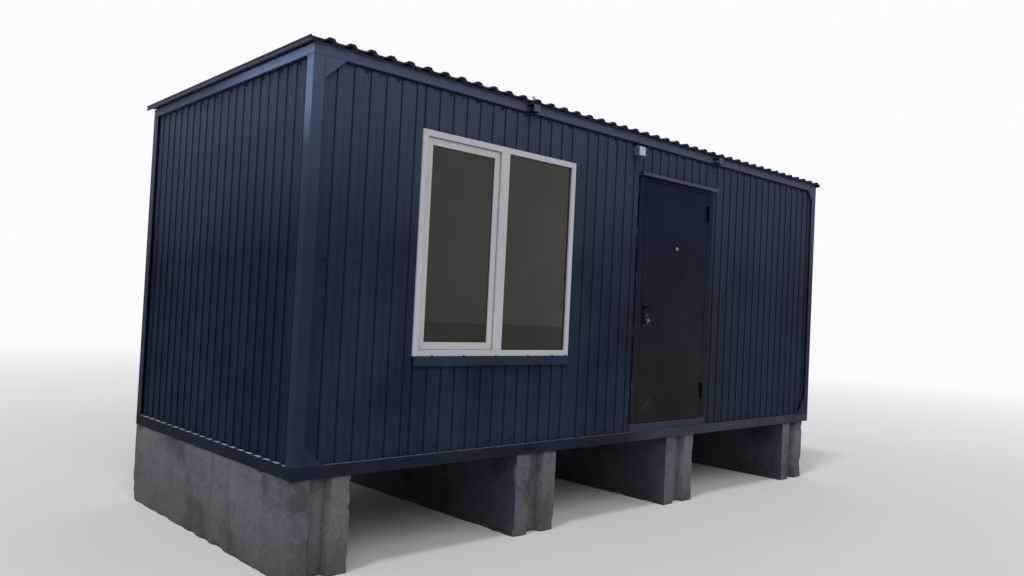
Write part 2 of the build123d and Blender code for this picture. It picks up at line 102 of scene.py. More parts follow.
def new_group(name, kind, takes, gives):
    """An empty node group with named inputs and outputs, and its two end nodes."""
    tree = bpy.data.node_groups.new(name, kind)
    for label, (sort, value) in takes.items():
        socket = tree.interface.new_socket(label, in_out="INPUT", socket_type="NodeSocket" + sort)
        if value is not None:
            socket.default_value = value
    for label, sort in gives.items():
        tree.interface.new_socket(label, in_out="OUTPUT", socket_type="NodeSocket" + sort)
    return tree, tree.nodes.new("NodeGroupInput").outputs, tree.nodes.new("NodeGroupOutput").inputs


def wire(tree, sockets, **results):
    """Results linked to named sockets: what a group hands on, or what a shader takes in."""
    for label, result in results.items():
        tree.links.new(result, sockets[label.replace("_", " ")])


def maths(tree, operation, first, second=0.0):
    """The result of one sum on two numbers."""
    return place(tree, "ShaderNodeMath", {0: first, 1: second}, operation=operation).outputs[0]


def ramp(tree, value, low, high, to_low=0.0, to_high=1.0):
    """A number taken from one range to another, and held inside it."""
    inputs = {0: value, 1: low, 2: high, 3: to_low, 4: to_high}
    return place(tree, "ShaderNodeMapRange", inputs, clamp=True).outputs[0]


def speckle(tree, point, scale, detail=4.0, roughness=0.55):
    """Noise of a given number of spots to the metre."""
    inputs = {"Vector": point, "Scale": scale, "Detail": detail, "Roughness": roughness}
    return place(tree, "ShaderNodeTexNoise", inputs).outputs["Fac"]


def stretched(tree, point, x, y, z):
    """A place in space, scaled along each axis."""
    inputs = {0: point, 1: (x, y, z)}
    return place(tree, "ShaderNodeVectorMath", inputs, operation="MULTIPLY").outputs[0]


def parts_of(tree, vector):
    """The parts X, Y and Z of a place or a direction."""
    return place(tree, "ShaderNodeSeparateXYZ", {0: vector}).outputs


def facing(tree, kind="Normal"):
    """The parts of the direction that a surface faces."""
    return parts_of(tree, place(tree, "ShaderNodeNewGeometry").outputs[kind])


def mixed(tree, share, first, second, blend="MIX"):
    """Two colours, mixed by a mask."""
    inputs = {0: share, 6: first, 7: second}
    return place(tree, "ShaderNodeMix", inputs, data_type="RGBA", blend_type=blend).outputs[2]


def laid_over(tree, tone, mask, share, colour, blend="MIX"):
    """A colour laid over another where a mask says, at a share of its full strength."""
    return mixed(tree, maths(tree, "MULTIPLY", mask, share), tone, colour, blend)


def toned(colour, factor):
    """A plain colour, darker or paler by a factor."""
    return tuple(factor * part for part in colour[:3]) + (1,)


def build_weathering():
    """Masks from 0 to 1 of an upright face's weathering, and a painted corner shade and top sheen."""
    takes = {"Point": ("Vector", None), "Streak Width": ("Float", 0.03), "Splash Height": ("Float", 0.5)}
    masks = ("Mottle", "Streaks", "Splash", "Dust", "Hollows", "Eaves")
    gives = {label: "Float" for label in masks}
    tree, start, end = new_group("weathering", "ShaderNodeTree", takes, gives)
    point = start["Point"]
    narrow = maths(tree, "DIVIDE", 0.35, start["Streak Width"])
    runs = stretched(tree, point, 1.0, 1.0, 0.055)
    streaks = ramp(tree, speckle(tree, runs, narrow, 3.0, 0.6), 0.56, 0.74)
    broken = ramp(tree, speckle(tree, point, 0.9, 2.0), 0.42, 0.62)
    height = parts_of(tree, point)["Z"]
    lift = maths(tree, "MULTIPLY", speckle(tree, point, 5.0, 5.0), start["Splash Height"])
    low = maths(tree, "DIVIDE", height, maths(tree, "MAXIMUM", lift, 0.01))
    drifts = ramp(tree, speckle(tree, point, 2.3, 7.0, 0.62), 0.30, 0.72, 0.45, 1.0)
    # Painted shade: corners that ambient occlusion finds within 35 mm are to be darkened.
    open_air = place(tree, "ShaderNodeAmbientOcclusion", {"Distance": 0.035}, samples=6).outputs["AO"]
    # Painted sheen: a mask that rises with height towards the top of the walls.
    uneven = ramp(tree, speckle(tree, point, 1.3, 4.0), 0.3, 0.7, -0.10, 0.10)
    raised = maths(tree, "ADD", height, uneven)
    wire(
        tree,
        end,
        Mottle=ramp(tree, speckle(tree, point, 1.7, 5.0), 0.34, 0.66),
        Streaks=maths(tree, "MULTIPLY", streaks, broken),
        Splash=ramp(tree, low, 0.35, 1.7, 1.0, 0.0),
        Dust=maths(tree, "MULTIPLY", ramp(tree, facing(tree)["Z"], 0.2, 0.95), drifts),
        Hollows=ramp(tree, open_air, 0.95, 0.45),
        Eaves=ramp(tree, raised, corner.z + sheen_foot, corner.z + sheen_head),
    )
    return tree


def build_edge_wear():
    """Where two faces meet: a ragged mask of the rubbed edge, and the rounded normal."""
    takes = {
        "Point": ("Vector", None),
        "Radius": ("Float", 0.002),
        "Raggedness": ("Float", 40.0),
        "Cover": ("Float", 0.5),
    }
    gives = {"Worn": "Float", "Normal": "Vector"}
    tree, start, end = new_group("edge_wear", "ShaderNodeTree", takes, gives)
    rounded = place(tree, "ShaderNodeBevel", {"Radius": start["Radius"]}, samples=4).outputs["Normal"]
    flat = place(tree, "ShaderNodeNewGeometry").outputs["Normal"]
    turn = place(tree, "ShaderNodeVectorMath", {0: rounded, 1: flat}, operation="DOT_PRODUCT")
    edge = ramp(tree, turn.outputs["Value"], 0.985, 0.80)
    ragged = speckle(tree, start["Point"], start["Raggedness"], 6.0, 0.65)
    threshold = maths(tree, "SUBTRACT", 1.0, start["Cover"])
    patches = ramp(tree, maths(tree, "SUBTRACT", ragged, threshold), -0.02, 0.06)
    wire(tree, end, Worn=maths(tree, "MULTIPLY", edge, patches), Normal=rounded)
    return tree


def build_fine_grain():
    """A fine surface of stretched grains: their height, and a tone from 0 to 1."""
    takes = {
        "Point": ("Vector", None),
        "Grain Size": ("Float", 0.002),
        "Stretch": ("Vector", (1.0, 1.0, 1.0)),
    }
    gives = {"Height": "Float", "Tone": "Float"}
    tree, start, end = new_group("fine_grain", "ShaderNodeTree", takes, gives)
    inputs = {0: start["Point"], 1: start["Stretch"]}
    point = place(tree, "ShaderNodeVectorMath", inputs, operation="MULTIPLY").outputs[0]
    scale = maths(tree, "DIVIDE", 1.0, start["Grain Size"])
    fine = speckle(tree, point, scale, 5.0, 0.7)
    broad = speckle(tree, point, maths(tree, "MULTIPLY", scale, 0.12), 4.0, 0.6)
    wire(tree, end, Height=fine, Tone=ramp(tree, maths(tree, "ADD", fine, broad), 0.75, 1.25))
    return tree


weathering = build_weathering()
edge_wear = build_edge_wear()
fine_grain = build_fine_grain()


def effect(tree, group, **inputs):
    """One of the shared effects, with values for its named inputs."""
    named = {label.replace("_", " "): value for label, value in inputs.items()}
    return place(tree, "ShaderNodeGroup", named, node_tree=group).outputs


def new_material(name, **constants):
    """A material with its shader, and the place on the object that its patterns read."""
    material = bpy.data.materials.new(name)
    material.use_nodes = True
    tree = material.node_tree
    shader = tree.nodes["Principled BSDF"]
    for label, value in constants.items():
        shader.inputs[label.replace("_", " ")].default_value = value
    point = place(tree, "ShaderNodeTexCoord").outputs["Object"]
    return material, tree, shader, point


def relief(tree, shader, height, distance, strength=1.0, normal=None):
    """A height as bump on a shader's normal."""
    inputs = {"Height": height, "Distance": distance, "Strength": strength}
    if normal is not None:
        inputs["Normal"] = normal
    bumped = place(tree, "ShaderNodeBump", inputs).outputs["Normal"]
    tree.links.new(bumped, shader.inputs["Normal"])


def shaded_block_sides(tree, point):
    """A mask of the block sides under the floor, for a painted shade of the cabin above them."""
    sideways = ramp(tree, maths(tree, "ABSOLUTE", facing(tree)["X"]), 0.952, 0.985)
    along = parts_of(tree, point)["X"]
    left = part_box("foundation_block_1")[0].x + side_shade_from
    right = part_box("foundation_block_4")[1].x - side_shade_from
    past_left = ramp(tree, along, left, left + side_shade_over)
    before_right = ramp(tree, along, right - side_shade_over, right, 1.0, 0.0)
    return maths(tree, "MULTIPLY", sideways, maths(tree, "MULTIPLY", past_left, before_right))


def concrete():
    """Coarse grey concrete: cement skin, damp stains, dark film low down, air holes, painted shade."""
    material, tree, shader, point = new_material("cast_concrete", Specular_IOR_Level=0.25)
    weather = effect(tree, weathering, Point=point, Streak_Width=0.05, Splash_Height=0.42)
    grain = effect(tree, fine_grain, Point=point, Grain_Size=0.004)
    edges = effect(tree, edge_wear, Point=point, Radius=0.006, Raggedness=22.0, Cover=0.62)
    cells = place(tree, "ShaderNodeTexVoronoi", {"Vector": point, "Scale": 46.0, "Randomness": 1.0})
    pits = ramp(tree, cells.outputs["Distance"], 0.10, 0.17, 1.0, 0.0)
    pits = maths(tree, "MULTIPLY", pits, ramp(tree, speckle(tree, point, 7.0, 3.0), 0.52, 0.60))
    tone = mixed(tree, weather["Mottle"], concrete_dark, concrete_pale)
    for mask, share, colour in (
        (grain["Tone"], 0.66, cement_skin),
        (ramp(tree, speckle(tree, point, 2.3, 5.0, 0.6), 0.50, 0.63), 0.30, lime_bloom),
        (ramp(tree, speckle(tree, point, 3.1, 6.0, 0.62), 0.53, 0.64), 0.66, damp_stain),
        (weather["Streaks"], 0.58, rain_streak),
        (ramp(tree, speckle(tree, point, 75.0, 5.0, 0.75), 0.35, 0.65), 0.55, dark_grit),
        (weather["Splash"], 0.30, ground_film),
        # Painted shade in the hollows.
        (weather["Hollows"], 0.45, hollow_shade_tone),
        (edges["Worn"], 0.70, fresh_chip),
        (pits, 0.75, air_hole),
    ):
        tone = laid_over(tree, tone, mask, share, colour)
    # Painted shade on the block sides under the floor, tinted blue.
    tone = laid_over(tree, tone, shaded_block_sides(tree, point), 0.92, under_floor_shade_tint, "MULTIPLY")
    wire(tree, shader.inputs, Base_Color=tone, Roughness=ramp(tree, grain["Tone"], 0.0, 1.0, 0.82, 0.96))
    coarse = maths(tree, "MULTIPLY", speckle(tree, point, 26.0, 7.0, 0.65), 2.2)
    height = maths(tree, "ADD", coarse, grain["Height"])
    height = maths(tree, "SUBTRACT", height, maths(tree, "MULTIPLY", pits, 1.6))
    relief(tree, shader, height, 0.0026)
    return material


concrete_cast = concrete()


def block_outline(lo, hi):
    """A block seen from above: closely set points, each with its distance from a sharp corner."""
    middle = (lo.x + hi.x) / 2
    mouth = block_groove_mouth / 2
    root = block_groove_root / 2
    half = [
        (lo.x, lo.y, True),
        (middle - mouth, lo.y, True),
        (middle - root, lo.y + block_groove_depth, False),
        (middle + root, lo.y + block_groove_depth, False),
        (middle + mouth, lo.y, True),
        (hi.x, lo.y, True),
    ]
    depth = lo.y + hi.y
    corners = half + [(x, depth - y, sharp) for x, y, sharp in reversed(half)]
    points = []
    for (ax, ay, a_sharp), (bx, by, b_sharp) in zip(corners, corners[1:] + corners[:1]):
        length = math.hypot(bx - ax, by - ay)
        steps = max(1, round(length / block_mesh_step))
        for index in range(steps):
            share = index / steps
            near = block_chip_reach
            if a_sharp:
                near = min(near, share * length)
            if b_sharp:
                near = min(near, (1 - share) * length)
            points.append((ax + share * (bx - ax), ay + share * (by - ay), near))
    return points


def band(shape, first, second):
    """A band of faces between two closed loops of as many points."""
    for index in range(len(first)):
        after = (index + 1) % len(first)
        shape.faces.new((first[index], first[after], second[after], second[index]))


def as_piece(name, shape, material, body):
    """A finished bmesh as an object that rides on a body of the frame."""
    mesh = bpy.data.meshes.new(name)
    shape.to_mesh(mesh)
    shape.free()
    mesh.materials.append(material)
    piece = bpy.data.objects.new(name, mesh)
    scene.collection.objects.link(piece)
    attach(piece, body)
    return piece


def concrete_block(number):
    """One block with a rough skin and chipped edges, inside the outline of its solid."""
    node = f"foundation_block_{number}"
    lo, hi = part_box(node)
    outline = block_outline(lo, hi)
    levels = round((hi.z - lo.z) / block_mesh_step)
    shape = bmesh.new()
    rings = []
    for level in range(levels + 1):
        z = lo.z + (hi.z - lo.z) * level / levels
        rings.append([shape.verts.new((x, y, z)) for x, y, near in outline])
    for below, above in zip(rings, rings[1:]):
        band(shape, below, above)
    shape.normal_update()
    moves = []
    for ring in rings:
        for vertex, (x, y, near) in zip(ring, outline):
            rim = min(near, vertex.co.z - lo.z, hi.z - vertex.co.z)
            spot = vertex.co * block_chip_spots + Vector((number * block_noise_shift, 0, 0))
            broken = max(0.0, noise.noise(spot) - block_chip_floor + 0.25 * noise.noise(spot * 4))
            skin = block_skin_depth * (0.5 + 0.5 * noise.noise(vertex.co * block_skin_spots))
            chip = block_chip_depth * broken * max(0.0, 1 - rim / block_chip_reach)
            inward = Vector((vertex.normal.x, vertex.normal.y, 0)).normalized()
            moves.append((vertex, -(skin + chip) * inward))
    for vertex, move in moves:
        vertex.co += move
    shape.faces.new(list(reversed(rings[0])))
    shape.faces.new(rings[-1])
    bmesh.ops.triangulate(shape, faces=[face for face in shape.faces if len(face.verts) > 4])
    for face in shape.faces:
        face.smooth = True
    piece = as_piece(f"block_{number}_concrete", shape, concrete_cast, "cabin")
    piece.data.set_sharp_from_angle(angle=block_crease)
    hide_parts(node)


for block_number in range(1, 5):
    concrete_block(block_number)


# Steel frame
# Pressed channel rails, angle posts and corner plates, welded together and sprayed in a dark
# blue-grey paint. It is rubbed at the edges and dusty on the ledges. Painted light lies on it too:
# a sheen under the eaves, a sunlit patch at the left end, light on the ledges, shade on the lugs.

frame_coat = (0.0180, 0.0268, 0.0455, 1)
lug_coat = (0.060, 0.086, 0.125, 1)
# A paler copy of the frame coat for the end rails: painted light.
sunlit_end_rail_coat = (0.090, 0.118, 0.195, 1)
base_coat = (0.0068, 0.0122, 0.0240, 1)
rubbed_coat = (0.065, 0.075, 0.09, 1)
road_dust = (0.070, 0.074, 0.064, 1)
dry_dust = (0.110, 0.130, 0.170, 1)
# The pale blue of the painted sheen towards the eaves.
sheen_coat = (0.070, 0.088, 0.142, 1)
# The pale blue of a painted sunlit patch, and its reach, at the head of the left end.
sunlit_coat = (0.25, 0.35, 0.54, 1)
# Painted shade on the left and lower faces of the lifting lugs.
shade_coat = (0.0015, 0.0030, 0.0085, 1)
trodden_coat = (0.044, 0.053, 0.068, 1)
# Dust on the ledges, made pale to stand for the light on them too; the end ledges are painted sunlit.
ledge_dust_and_light = (0.15, 0.17, 0.21, 1)
sunlit_end_ledge_dust = (0.50, 0.54, 0.60, 1)
sunlit_reach = (0.12, 1.35, 0.55)
trodden_from = 2.95
trodden_over = 0.40
base_rail_top = 0.073
ledge_thickness = 0.0015
weld_ripple = 0.004
weld_inset = 0.001
weld_sides = 6
post_leg = 0.075
rib_pitch = 0.115
end_first_rib = 0.144
roof_fall = 0.035
roof_slope = roof_fall / (far_corner.y - corner.y)


def painted_steel(
    name,
    coat,
    worn,
    roughness=0.46,
    wear=0.42,
    dirt=0.35,
    peel=0.35,
    slope_shade=0.0,
    corner_shade=0.6,
    dust=1.2,
    shine=0.04,
    top_sheen=0.0,
    top_sheen_right=0.0,
    settled_dust_and_light=dry_dust,
):
    """Paint on sheet or section steel, faded in patches, streaked, splashed and rubbed.

    Corner shade and slope shade are painted shade: how much darker the deep corners and the rib
    slopes that face front left and back right are. Top sheen is a painted sheen: how far the coat
    pales towards the eaves, at the cabin's left and right ends."""
    material, tree, shader, point = new_material(name, Specular_IOR_Level=shine)
    weather = effect(tree, weathering, Point=point, Streak_Width=0.028, Splash_Height=1.15)
    edges = effect(tree, edge_wear, Point=point, Radius=0.0026, Raggedness=34.0, Cover=wear)
    pale = toned(coat, 1.22)
    # The colour of the painted shade in deep corners and on rib slopes.
    deep = toned(coat, 0.20)
    tone = mixed(tree, weather["Mottle"], toned(coat, 0.78), pale)
    cloudy = ramp(tree, speckle(tree, point, 11.0, 6.0, 0.6), 0.35, 0.7)
    tone = laid_over(tree, tone, cloudy, 0.25, pale)
    # Painted sheen: the coat pales towards the eaves.
    if top_sheen:
        sheen_share = ramp(tree, parts_of(tree, point)["X"], corner.x, far_corner.x, top_sheen, top_sheen_right)
        tone = laid_over(tree, tone, weather["Eaves"], sheen_share, sheen_coat)
    tone = laid_over(tree, tone, weather["Streaks"], 0.22 * dirt, road_dust)
    tone = laid_over(tree, tone, weather["Splash"], 0.40 * dirt, road_dust)
    tone = laid_over(tree, tone, weather["Dust"], dust * dirt, settled_dust_and_light)
    # Painted shade in the corners that ambient occlusion finds.
    tone = laid_over(tree, tone, weather["Hollows"], corner_shade, deep)
    # Painted shade on the rib slopes that face front left and back right.
    if slope_shade:
        turned = facing(tree, "True Normal")
        shaded_slopes = ramp(tree, maths(tree, "MULTIPLY", turned["X"], turned["Y"]), 0.12, 0.35)
        tone = laid_over(tree, tone, shaded_slopes, slope_shade, deep)
    tone = mixed(tree, edges["Worn"], tone, worn)
    tree.links.new(tone, shader.inputs["Base Color"])
    gloss = maths(tree, "ADD", roughness, maths(tree, "MULTIPLY", weather["Splash"], 0.22))
    patches = ramp(tree, speckle(tree, point, 9.0, 5.0), 0.3, 0.7, -0.05, 0.07)
    tree.links.new(maths(tree, "ADD", gloss, patches), shader.inputs["Roughness"])
    waves = maths(tree, "MULTIPLY", speckle(tree, point, 16.0, 3.0), 4.0)
    bumps = maths(tree, "ADD", speckle(tree, point, 420.0, 2.0), waves)
    relief(tree, shader, bumps, 0.00045, peel, edges["Normal"])
    return material


def finish(material, *names):
    """The same finish on solids of the frame that keep their own shape."""
    for name in names:
        for slot in nodes[name].material_slots:
            slot.material = material


def turned_to(tree, axis):
    """A mask of the faces that look against one axis: X for the cabin's left, Z for the ground."""
    return ramp(tree, facing(tree, "True Normal")[axis], -0.90, -0.97)


def distance_in(tree, point, middle, reach, turn=0.0):
    """How far a place is from a middle, where 1 is the skin of an ellipsoid of a given reach."""
    inputs = {"Vector": point, "Location": middle, "Rotation": (0, turn, 0), "Scale": reach}
    near = place(tree, "ShaderNodeMapping", inputs, vector_type="TEXTURE").outputs[0]
    return place(tree, "ShaderNodeVectorMath", {0: near}, operation="LENGTH").outputs["Value"]


def recoated(material, change, **settings):
    """The same paint, its colour changed by a function of the tree, the place and the old colour."""
    tree = material.node_tree
    base = tree.nodes["Principled BSDF"].inputs["Base Color"]
    point = place(tree, "ShaderNodeTexCoord").outputs["Object"]
    tree.links.new(change(tree, point, base.links[0].from_socket, **settings), base)
    return material


def sunlit_patch(tree, point, paint, share):
    """A painted sunlit patch on left faces at the head of the left end, in the half by the front."""
    head = (corner.x, corner.y, corner.z + sheen_head)
    near = ramp(tree, distance_in(tree, point, head, sunlit_reach), 1.0, 0.55)
    return laid_over(tree, paint, maths(tree, "MULTIPLY", near, turned_to(tree, "X")), share, sunlit_coat)


def shaded_left_and_under(tree, point, paint):
    """Painted shade on the left and lower faces."""
    shaded_faces = maths(tree, "MAXIMUM", turned_to(tree, "X"), turned_to(tree, "Z"))
    return laid_over(tree, paint, shaded_faces, 0.9, shade_coat)


def rib_shadows_on_ledge(tree, point, paint):
    """Painted shadows of the ribs on the ledge, so that its pale tone lies in dashes between them."""
    parts = parts_of(tree, point)
    along = maths(tree, "SUBTRACT", parts["Y"], corner.y + end_first_rib)
    turns = maths(tree, "MULTIPLY", along, 2 * math.pi / rib_pitch)
    in_rib_shadow = ramp(tree, maths(tree, "COSINE", turns), 0.15, 0.70)
    ledge = corner.z + base_rail_top
    on_ledge = ramp(tree, parts["Z"], ledge, ledge + ledge_thickness)
    return laid_over(tree, paint, in_rib_shadow, on_ledge, base_coat)


def trodden(tree, point, paint):
    """Paint greyed by boots and dust from the door to the right end."""
    start = corner.x + trodden_from
    across = ramp(tree, parts_of(tree, point)["X"], start, start + trodden_over, 0.0, 0.9)
    patches = ramp(tree, speckle(tree, point, 5.0, 5.0, 0.6), 0.30, 0.60, 0.6, 1.0)
    return laid_over(tree, paint, across, patches, trodden_coat)


def rail_paint(name, coat, shine=0.015, top_sheen=0.9):
    """The paint of the upper frame, with a painted sheen towards the eaves."""
    return painted_steel(
        name, coat, rubbed_coat, 0.44, wear=0.36, dirt=0.2, shine=shine, top_sheen=top_sheen, top_sheen_right=top_sheen
    )


def foot_paint(name, shine, settled_dust_and_light):
    """The darker paint of the floor frame, with dust and painted light on its ledge."""
    return painted_steel(
        name, base_coat, rubbed_coat, 0.5, wear=0.36, dirt=0.4, dust=2.5, shine=shine, settled_dust_and_light=settled_dust_and_light
    )


# Painted light on the frame: a sunlit patch on left faces near the head of the front corner.
frame_paint = recoated(rail_paint("frame_paint", frame_coat), sunlit_patch, share=0.45)
# The lugs carry painted shade on their left and lower faces.
lug_paint = recoated(rail_paint("lug_paint", lug_coat), shaded_left_and_under)
# The end rails are a paler, lit copy of the frame paint with a stronger sunlit patch.
sunlit_end_rail_paint = recoated(rail_paint("sunlit_end_rail_paint", sunlit_end_rail_coat, 0.02, 0.0), sunlit_patch, share=0.8)
base_paint = recoated(foot_paint("base_paint", 0.02, ledge_dust_and_light), trodden)
# The end ledges carry painted sunlight with painted rib shadows between.
end_base_paint = recoated(foot_paint("end_base_paint", 0.01, sunlit_end_ledge_dust), rib_shadows_on_ledge)
finish(frame_paint, "top_rails_long", "corner_posts", "corner_gussets")
finish(lug_paint, "lifting_lugs")
finish(sunlit_end_rail_paint, "top_rails_ends")
finish(base_paint, "base_rails_long")
finish(end_base_paint, "base_rails_ends")


def coated_mesh(tree, geometry, material, end):
    """The end of a geometry node tree: its instances made real, and their material."""
    real = place(tree, "GeometryNodeRealizeInstances", {"Geometry": geometry})
    inputs = {"Geometry": real.outputs[0], "Material": material}
    wire(tree, end, Geometry=place(tree, "GeometryNodeSetMaterial", inputs).outputs[0])


def build_weld_bead():
    """Geometry nodes for a weld: a round bead along edges, rippled as the passes set."""
    takes = {
        "Geometry": ("Geometry", None),
        "Bead Radius": ("Float", 0.0035),
        "Ripple Length": ("Float", 0.006),
        "Ripple Depth": ("Float", 0.22),
        "Material": ("Material", None),
    }
    tree, start, end = new_group("weld_bead", "GeometryNodeTree", takes, {"Geometry": "Geometry"})
    path = place(tree, "GeometryNodeMeshToCurve", {"Mesh": start["Geometry"]})
    step = maths(tree, "DIVIDE", start["Ripple Length"], 3.0)
    inputs = {"Curve": path.outputs[0], "Length": step}
    fine = place(tree, "GeometryNodeResampleCurve", inputs, mode="LENGTH")
    along = place(tree, "GeometryNodeSplineParameter").outputs["Length"]
    turns = maths(tree, "DIVIDE", along, start["Ripple Length"])
    wave = maths(tree, "SINE", maths(tree, "MULTIPLY", turns, 2 * math.pi))
    wobble = place(tree, "ShaderNodeTexNoise", {"Scale": 120.0}).outputs["Fac"]
    swell = maths(tree, "MULTIPLY", maths(tree, "ADD", wave, wobble), start["Ripple Depth"])
    inputs = {"Resolution": weld_sides, "Radius": start["Bead Radius"]}
    ring = place(tree, "GeometryNodeCurvePrimitiveCircle", inputs)
    inputs = {
        "Curve": fine.outputs[0],
        "Profile Curve": ring.outputs[0],
        "Scale": maths(tree, "ADD", 1.0, swell),
        "Fill Caps": True,
    }
    bead = place(tree, "GeometryNodeCurveToMesh", inputs)
    coated_mesh(tree, bead.outputs[0], start["Material"], end)
    return tree


def shaped_by(tree, name, points, edges, values, body):
    """A plain mesh from points that a geometry node tree turns into the finished piece."""
    mesh = bpy.data.meshes.new(name)
    mesh.from_pydata(points, edges, [])
    piece = bpy.data.objects.new(name, mesh)
    scene.collection.objects.link(piece)
    modifier = piece.modifiers.new(name, "NODES")
    modifier.node_group = tree
    for item in tree.interface.items_tree:
        if item.in_out == "INPUT" and item.name in values:
            modifier[item.identifier] = values[item.name]
    evaluated = piece.evaluated_get(bpy.context.evaluated_depsgraph_get())
    finished = bpy.data.meshes.new_from_object(evaluated)
    piece.modifiers.clear()
    piece.data = finished
    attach(piece, body)
    return piece


weld_bead = build_weld_bead()
post_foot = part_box("corner_posts")[0].z
post_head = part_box("corner_posts")[1].z
left_post = corner.x + post_leg
right_post = far_corner.x - post_leg
gusset_legs = (
    (left_post, post_foot, 0.124, 0.114),
    (right_post, post_foot, -0.130, 0.180),
    (left_post, post_head, 0.144, -0.132),
    (right_post, post_head, -0.088, -0.095),
)


def welds(name, runs, radius):
    """Weld beads along straight runs, each from one point to another."""
    points = [point for run in runs for point in run]
    edges = [(index, index + 1) for index in range(0, len(points), 2)]
    values = {"Bead Radius": radius, "Ripple Length": weld_ripple, "Material": frame_paint}
    return shaped_by(weld_bead, name, points, edges, values, "cabin")


def gusset_runs():
    """The two welded edges of each corner plate, on the faces of front and back."""
    runs = []
    for x, z, along, rise in gusset_legs:
        for y, drop in ((corner.y + weld_inset, 0), (far_corner.y - weld_inset, roof_fall)):
            level = z - drop if z == post_head else z
            runs.append(((x, y, level), (x + along, y, level)))
            runs.append(((x, y, level), (x, y, level + rise)))
    return runs


def corner_runs():
    """Welds across each corner of the two rail rings, where a post stands on a rail."""
    runs = []
    for x, side in ((corner.x, 1), (far_corner.x, -1)):
        for y, inward, drop in ((corner.y, 1, 0), (far_corner.y, -1, roof_fall)):
            for z in (post_foot, post_head - drop):
                near_x = x + side * weld_inset
                near_y = y + inward * weld_inset
                rise = 0 if z == post_foot else -inward * roof_slope * post_leg
                runs.append(((near_x, near_y, z), (x + side * post_leg, near_y, z)))
                runs.append(((near_x, near_y, z), (near_x, y + inward * post_leg, z + rise)))
    return runs


def left_and_right(name):
    """The points of a node's solids to the left of its middle, and of those to the right."""
    lo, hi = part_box(name)
    middle = (lo.x + hi.x) / 2
    points = [vertex.co for vertex in nodes[name].data.vertices]
    return [point for point in points if point.x < middle], [point for point in points if point.x > middle]


def lug_runs():
    """Welds over and under each lifting lug, where the tube meets the web of the rail."""
    runs = []
    for points in left_and_right("lifting_lugs"):
        left = min(point.x for point in points)
        right = max(point.x for point in points)
        front = [point.z for point in points if point.y < 0]
        back = [point.z for point in points if point.y > 0]
        for y, levels in ((corner.y - weld_inset, front), (far_corner.y + weld_inset, back)):
            for z in (min(levels) - weld_inset, max(levels) + weld_inset):
                runs.append(((left, y, z), (right, y, z)))
    return runs


welds("lug_welds", lug_runs(), radius=0.0035)
welds("gusset_welds", gusset_runs(), radius=0.0026)
welds("post_welds", corner_runs(), radius=0.0022)


# Floor
# Sawn timber joists between the long rails, a steel sheet over them, and inside it a deck of
# oiled boards. The joists and the sheet show only from below, the deck through the doorway.

joist_pale = (0.43, 0.31, 0.19, 1)
joist_dark = (0.25, 0.165, 0.095, 1)
# Purlin colours lifted to a pale violet-blue: painted light that brightens the shade under the roof edge.
purlin_lit_pale = (0.080, 0.074, 0.112, 1)
purlin_lit_dark = (0.045, 0.041, 0.062, 1)
deck_pale = (0.42, 0.30, 0.19, 1)
deck_dark = (0.24, 0.155, 0.09, 1)
subfloor_coat = (0.016, 0.016, 0.018, 1)
bare_rust = (0.060, 0.036, 0.026, 1)
deck_board_width = 0.120
deck_board_gap = 0.0025
boards_before_middle = 20


def sawn_timber(name, pale, dark, along):
    """Sawn softwood with long grain along one axis, darkened in patches."""
    material, tree, shader, point = new_material(name, Specular_IOR_Level=0.3)
    stretch = tuple(0.06 if axis == along else 1.0 for axis in "XYZ")
    grain = effect(tree, fine_grain, Point=point, Grain_Size=0.006, Stretch=stretch)
    weather = effect(tree, weathering, Point=point, Streak_Width=0.05, Splash_Height=0.8)
    tone = mixed(tree, grain["Tone"], dark, pale)
    tone = laid_over(tree, tone, weather["Mottle"], 0.3, toned(pale, 0.45))
    wire(tree, shader.inputs, Base_Color=tone, Roughness=ramp(tree, grain["Height"], 0.2, 0.8, 0.62, 0.85))
    relief(tree, shader, grain["Height"], 0.0008, 0.6)
    return material


def boarded(name, pale, dark, along, across, board_width, gap, roughness):
    """Boards or panels laid side by side: each its own tone, with a dark groove between."""
    material, tree, shader, point = new_material(name, Specular_IOR_Level=0.4)
    parts = parts_of(tree, point)
    from_first = maths(tree, "ADD", parts[across], boards_before_middle * board_width)
    position = maths(tree, "DIVIDE", from_first, board_width)
    number = maths(tree, "FLOOR", position)
    within = maths(tree, "SUBTRACT", position, number)
    from_edge = maths(tree, "MINIMUM", within, maths(tree, "SUBTRACT", 1.0, within))
    groove = ramp(tree, from_edge, 0.0, gap / board_width, 1.0, 0.0)
    shift = place(tree, "ShaderNodeCombineXYZ", {0: maths(tree, "MULTIPLY", number, 3.7)}).outputs[0]
    moved = place(tree, "ShaderNodeVectorMath", {0: point, 1: shift}).outputs[0]
    stretch = tuple(0.05 if axis == along else 1.0 for axis in "XYZ")
    grain = effect(tree, fine_grain, Point=moved, Grain_Size=0.010, Stretch=stretch)
    tone = mixed(tree, grain["Tone"], dark, pale)
    each = place(tree, "ShaderNodeTexWhiteNoise", {"W": number}, noise_dimensions="1D").outputs["Value"]
    tone = laid_over(tree, tone, each, 0.35, dark)
    tone = laid_over(tree, tone, groove, 0.8, toned(dark, 0.25))
    dull = ramp(tree, grain["Tone"], 0.0, 1.0, roughness, roughness + 0.15)
    wire(tree, shader.inputs, Base_Color=tone, Roughness=dull)
    height = maths(tree, "SUBTRACT", maths(tree, "MULTIPLY", grain["Height"], 0.25), groove)
    relief(tree, shader, height, 0.0015, 0.7)
    return material


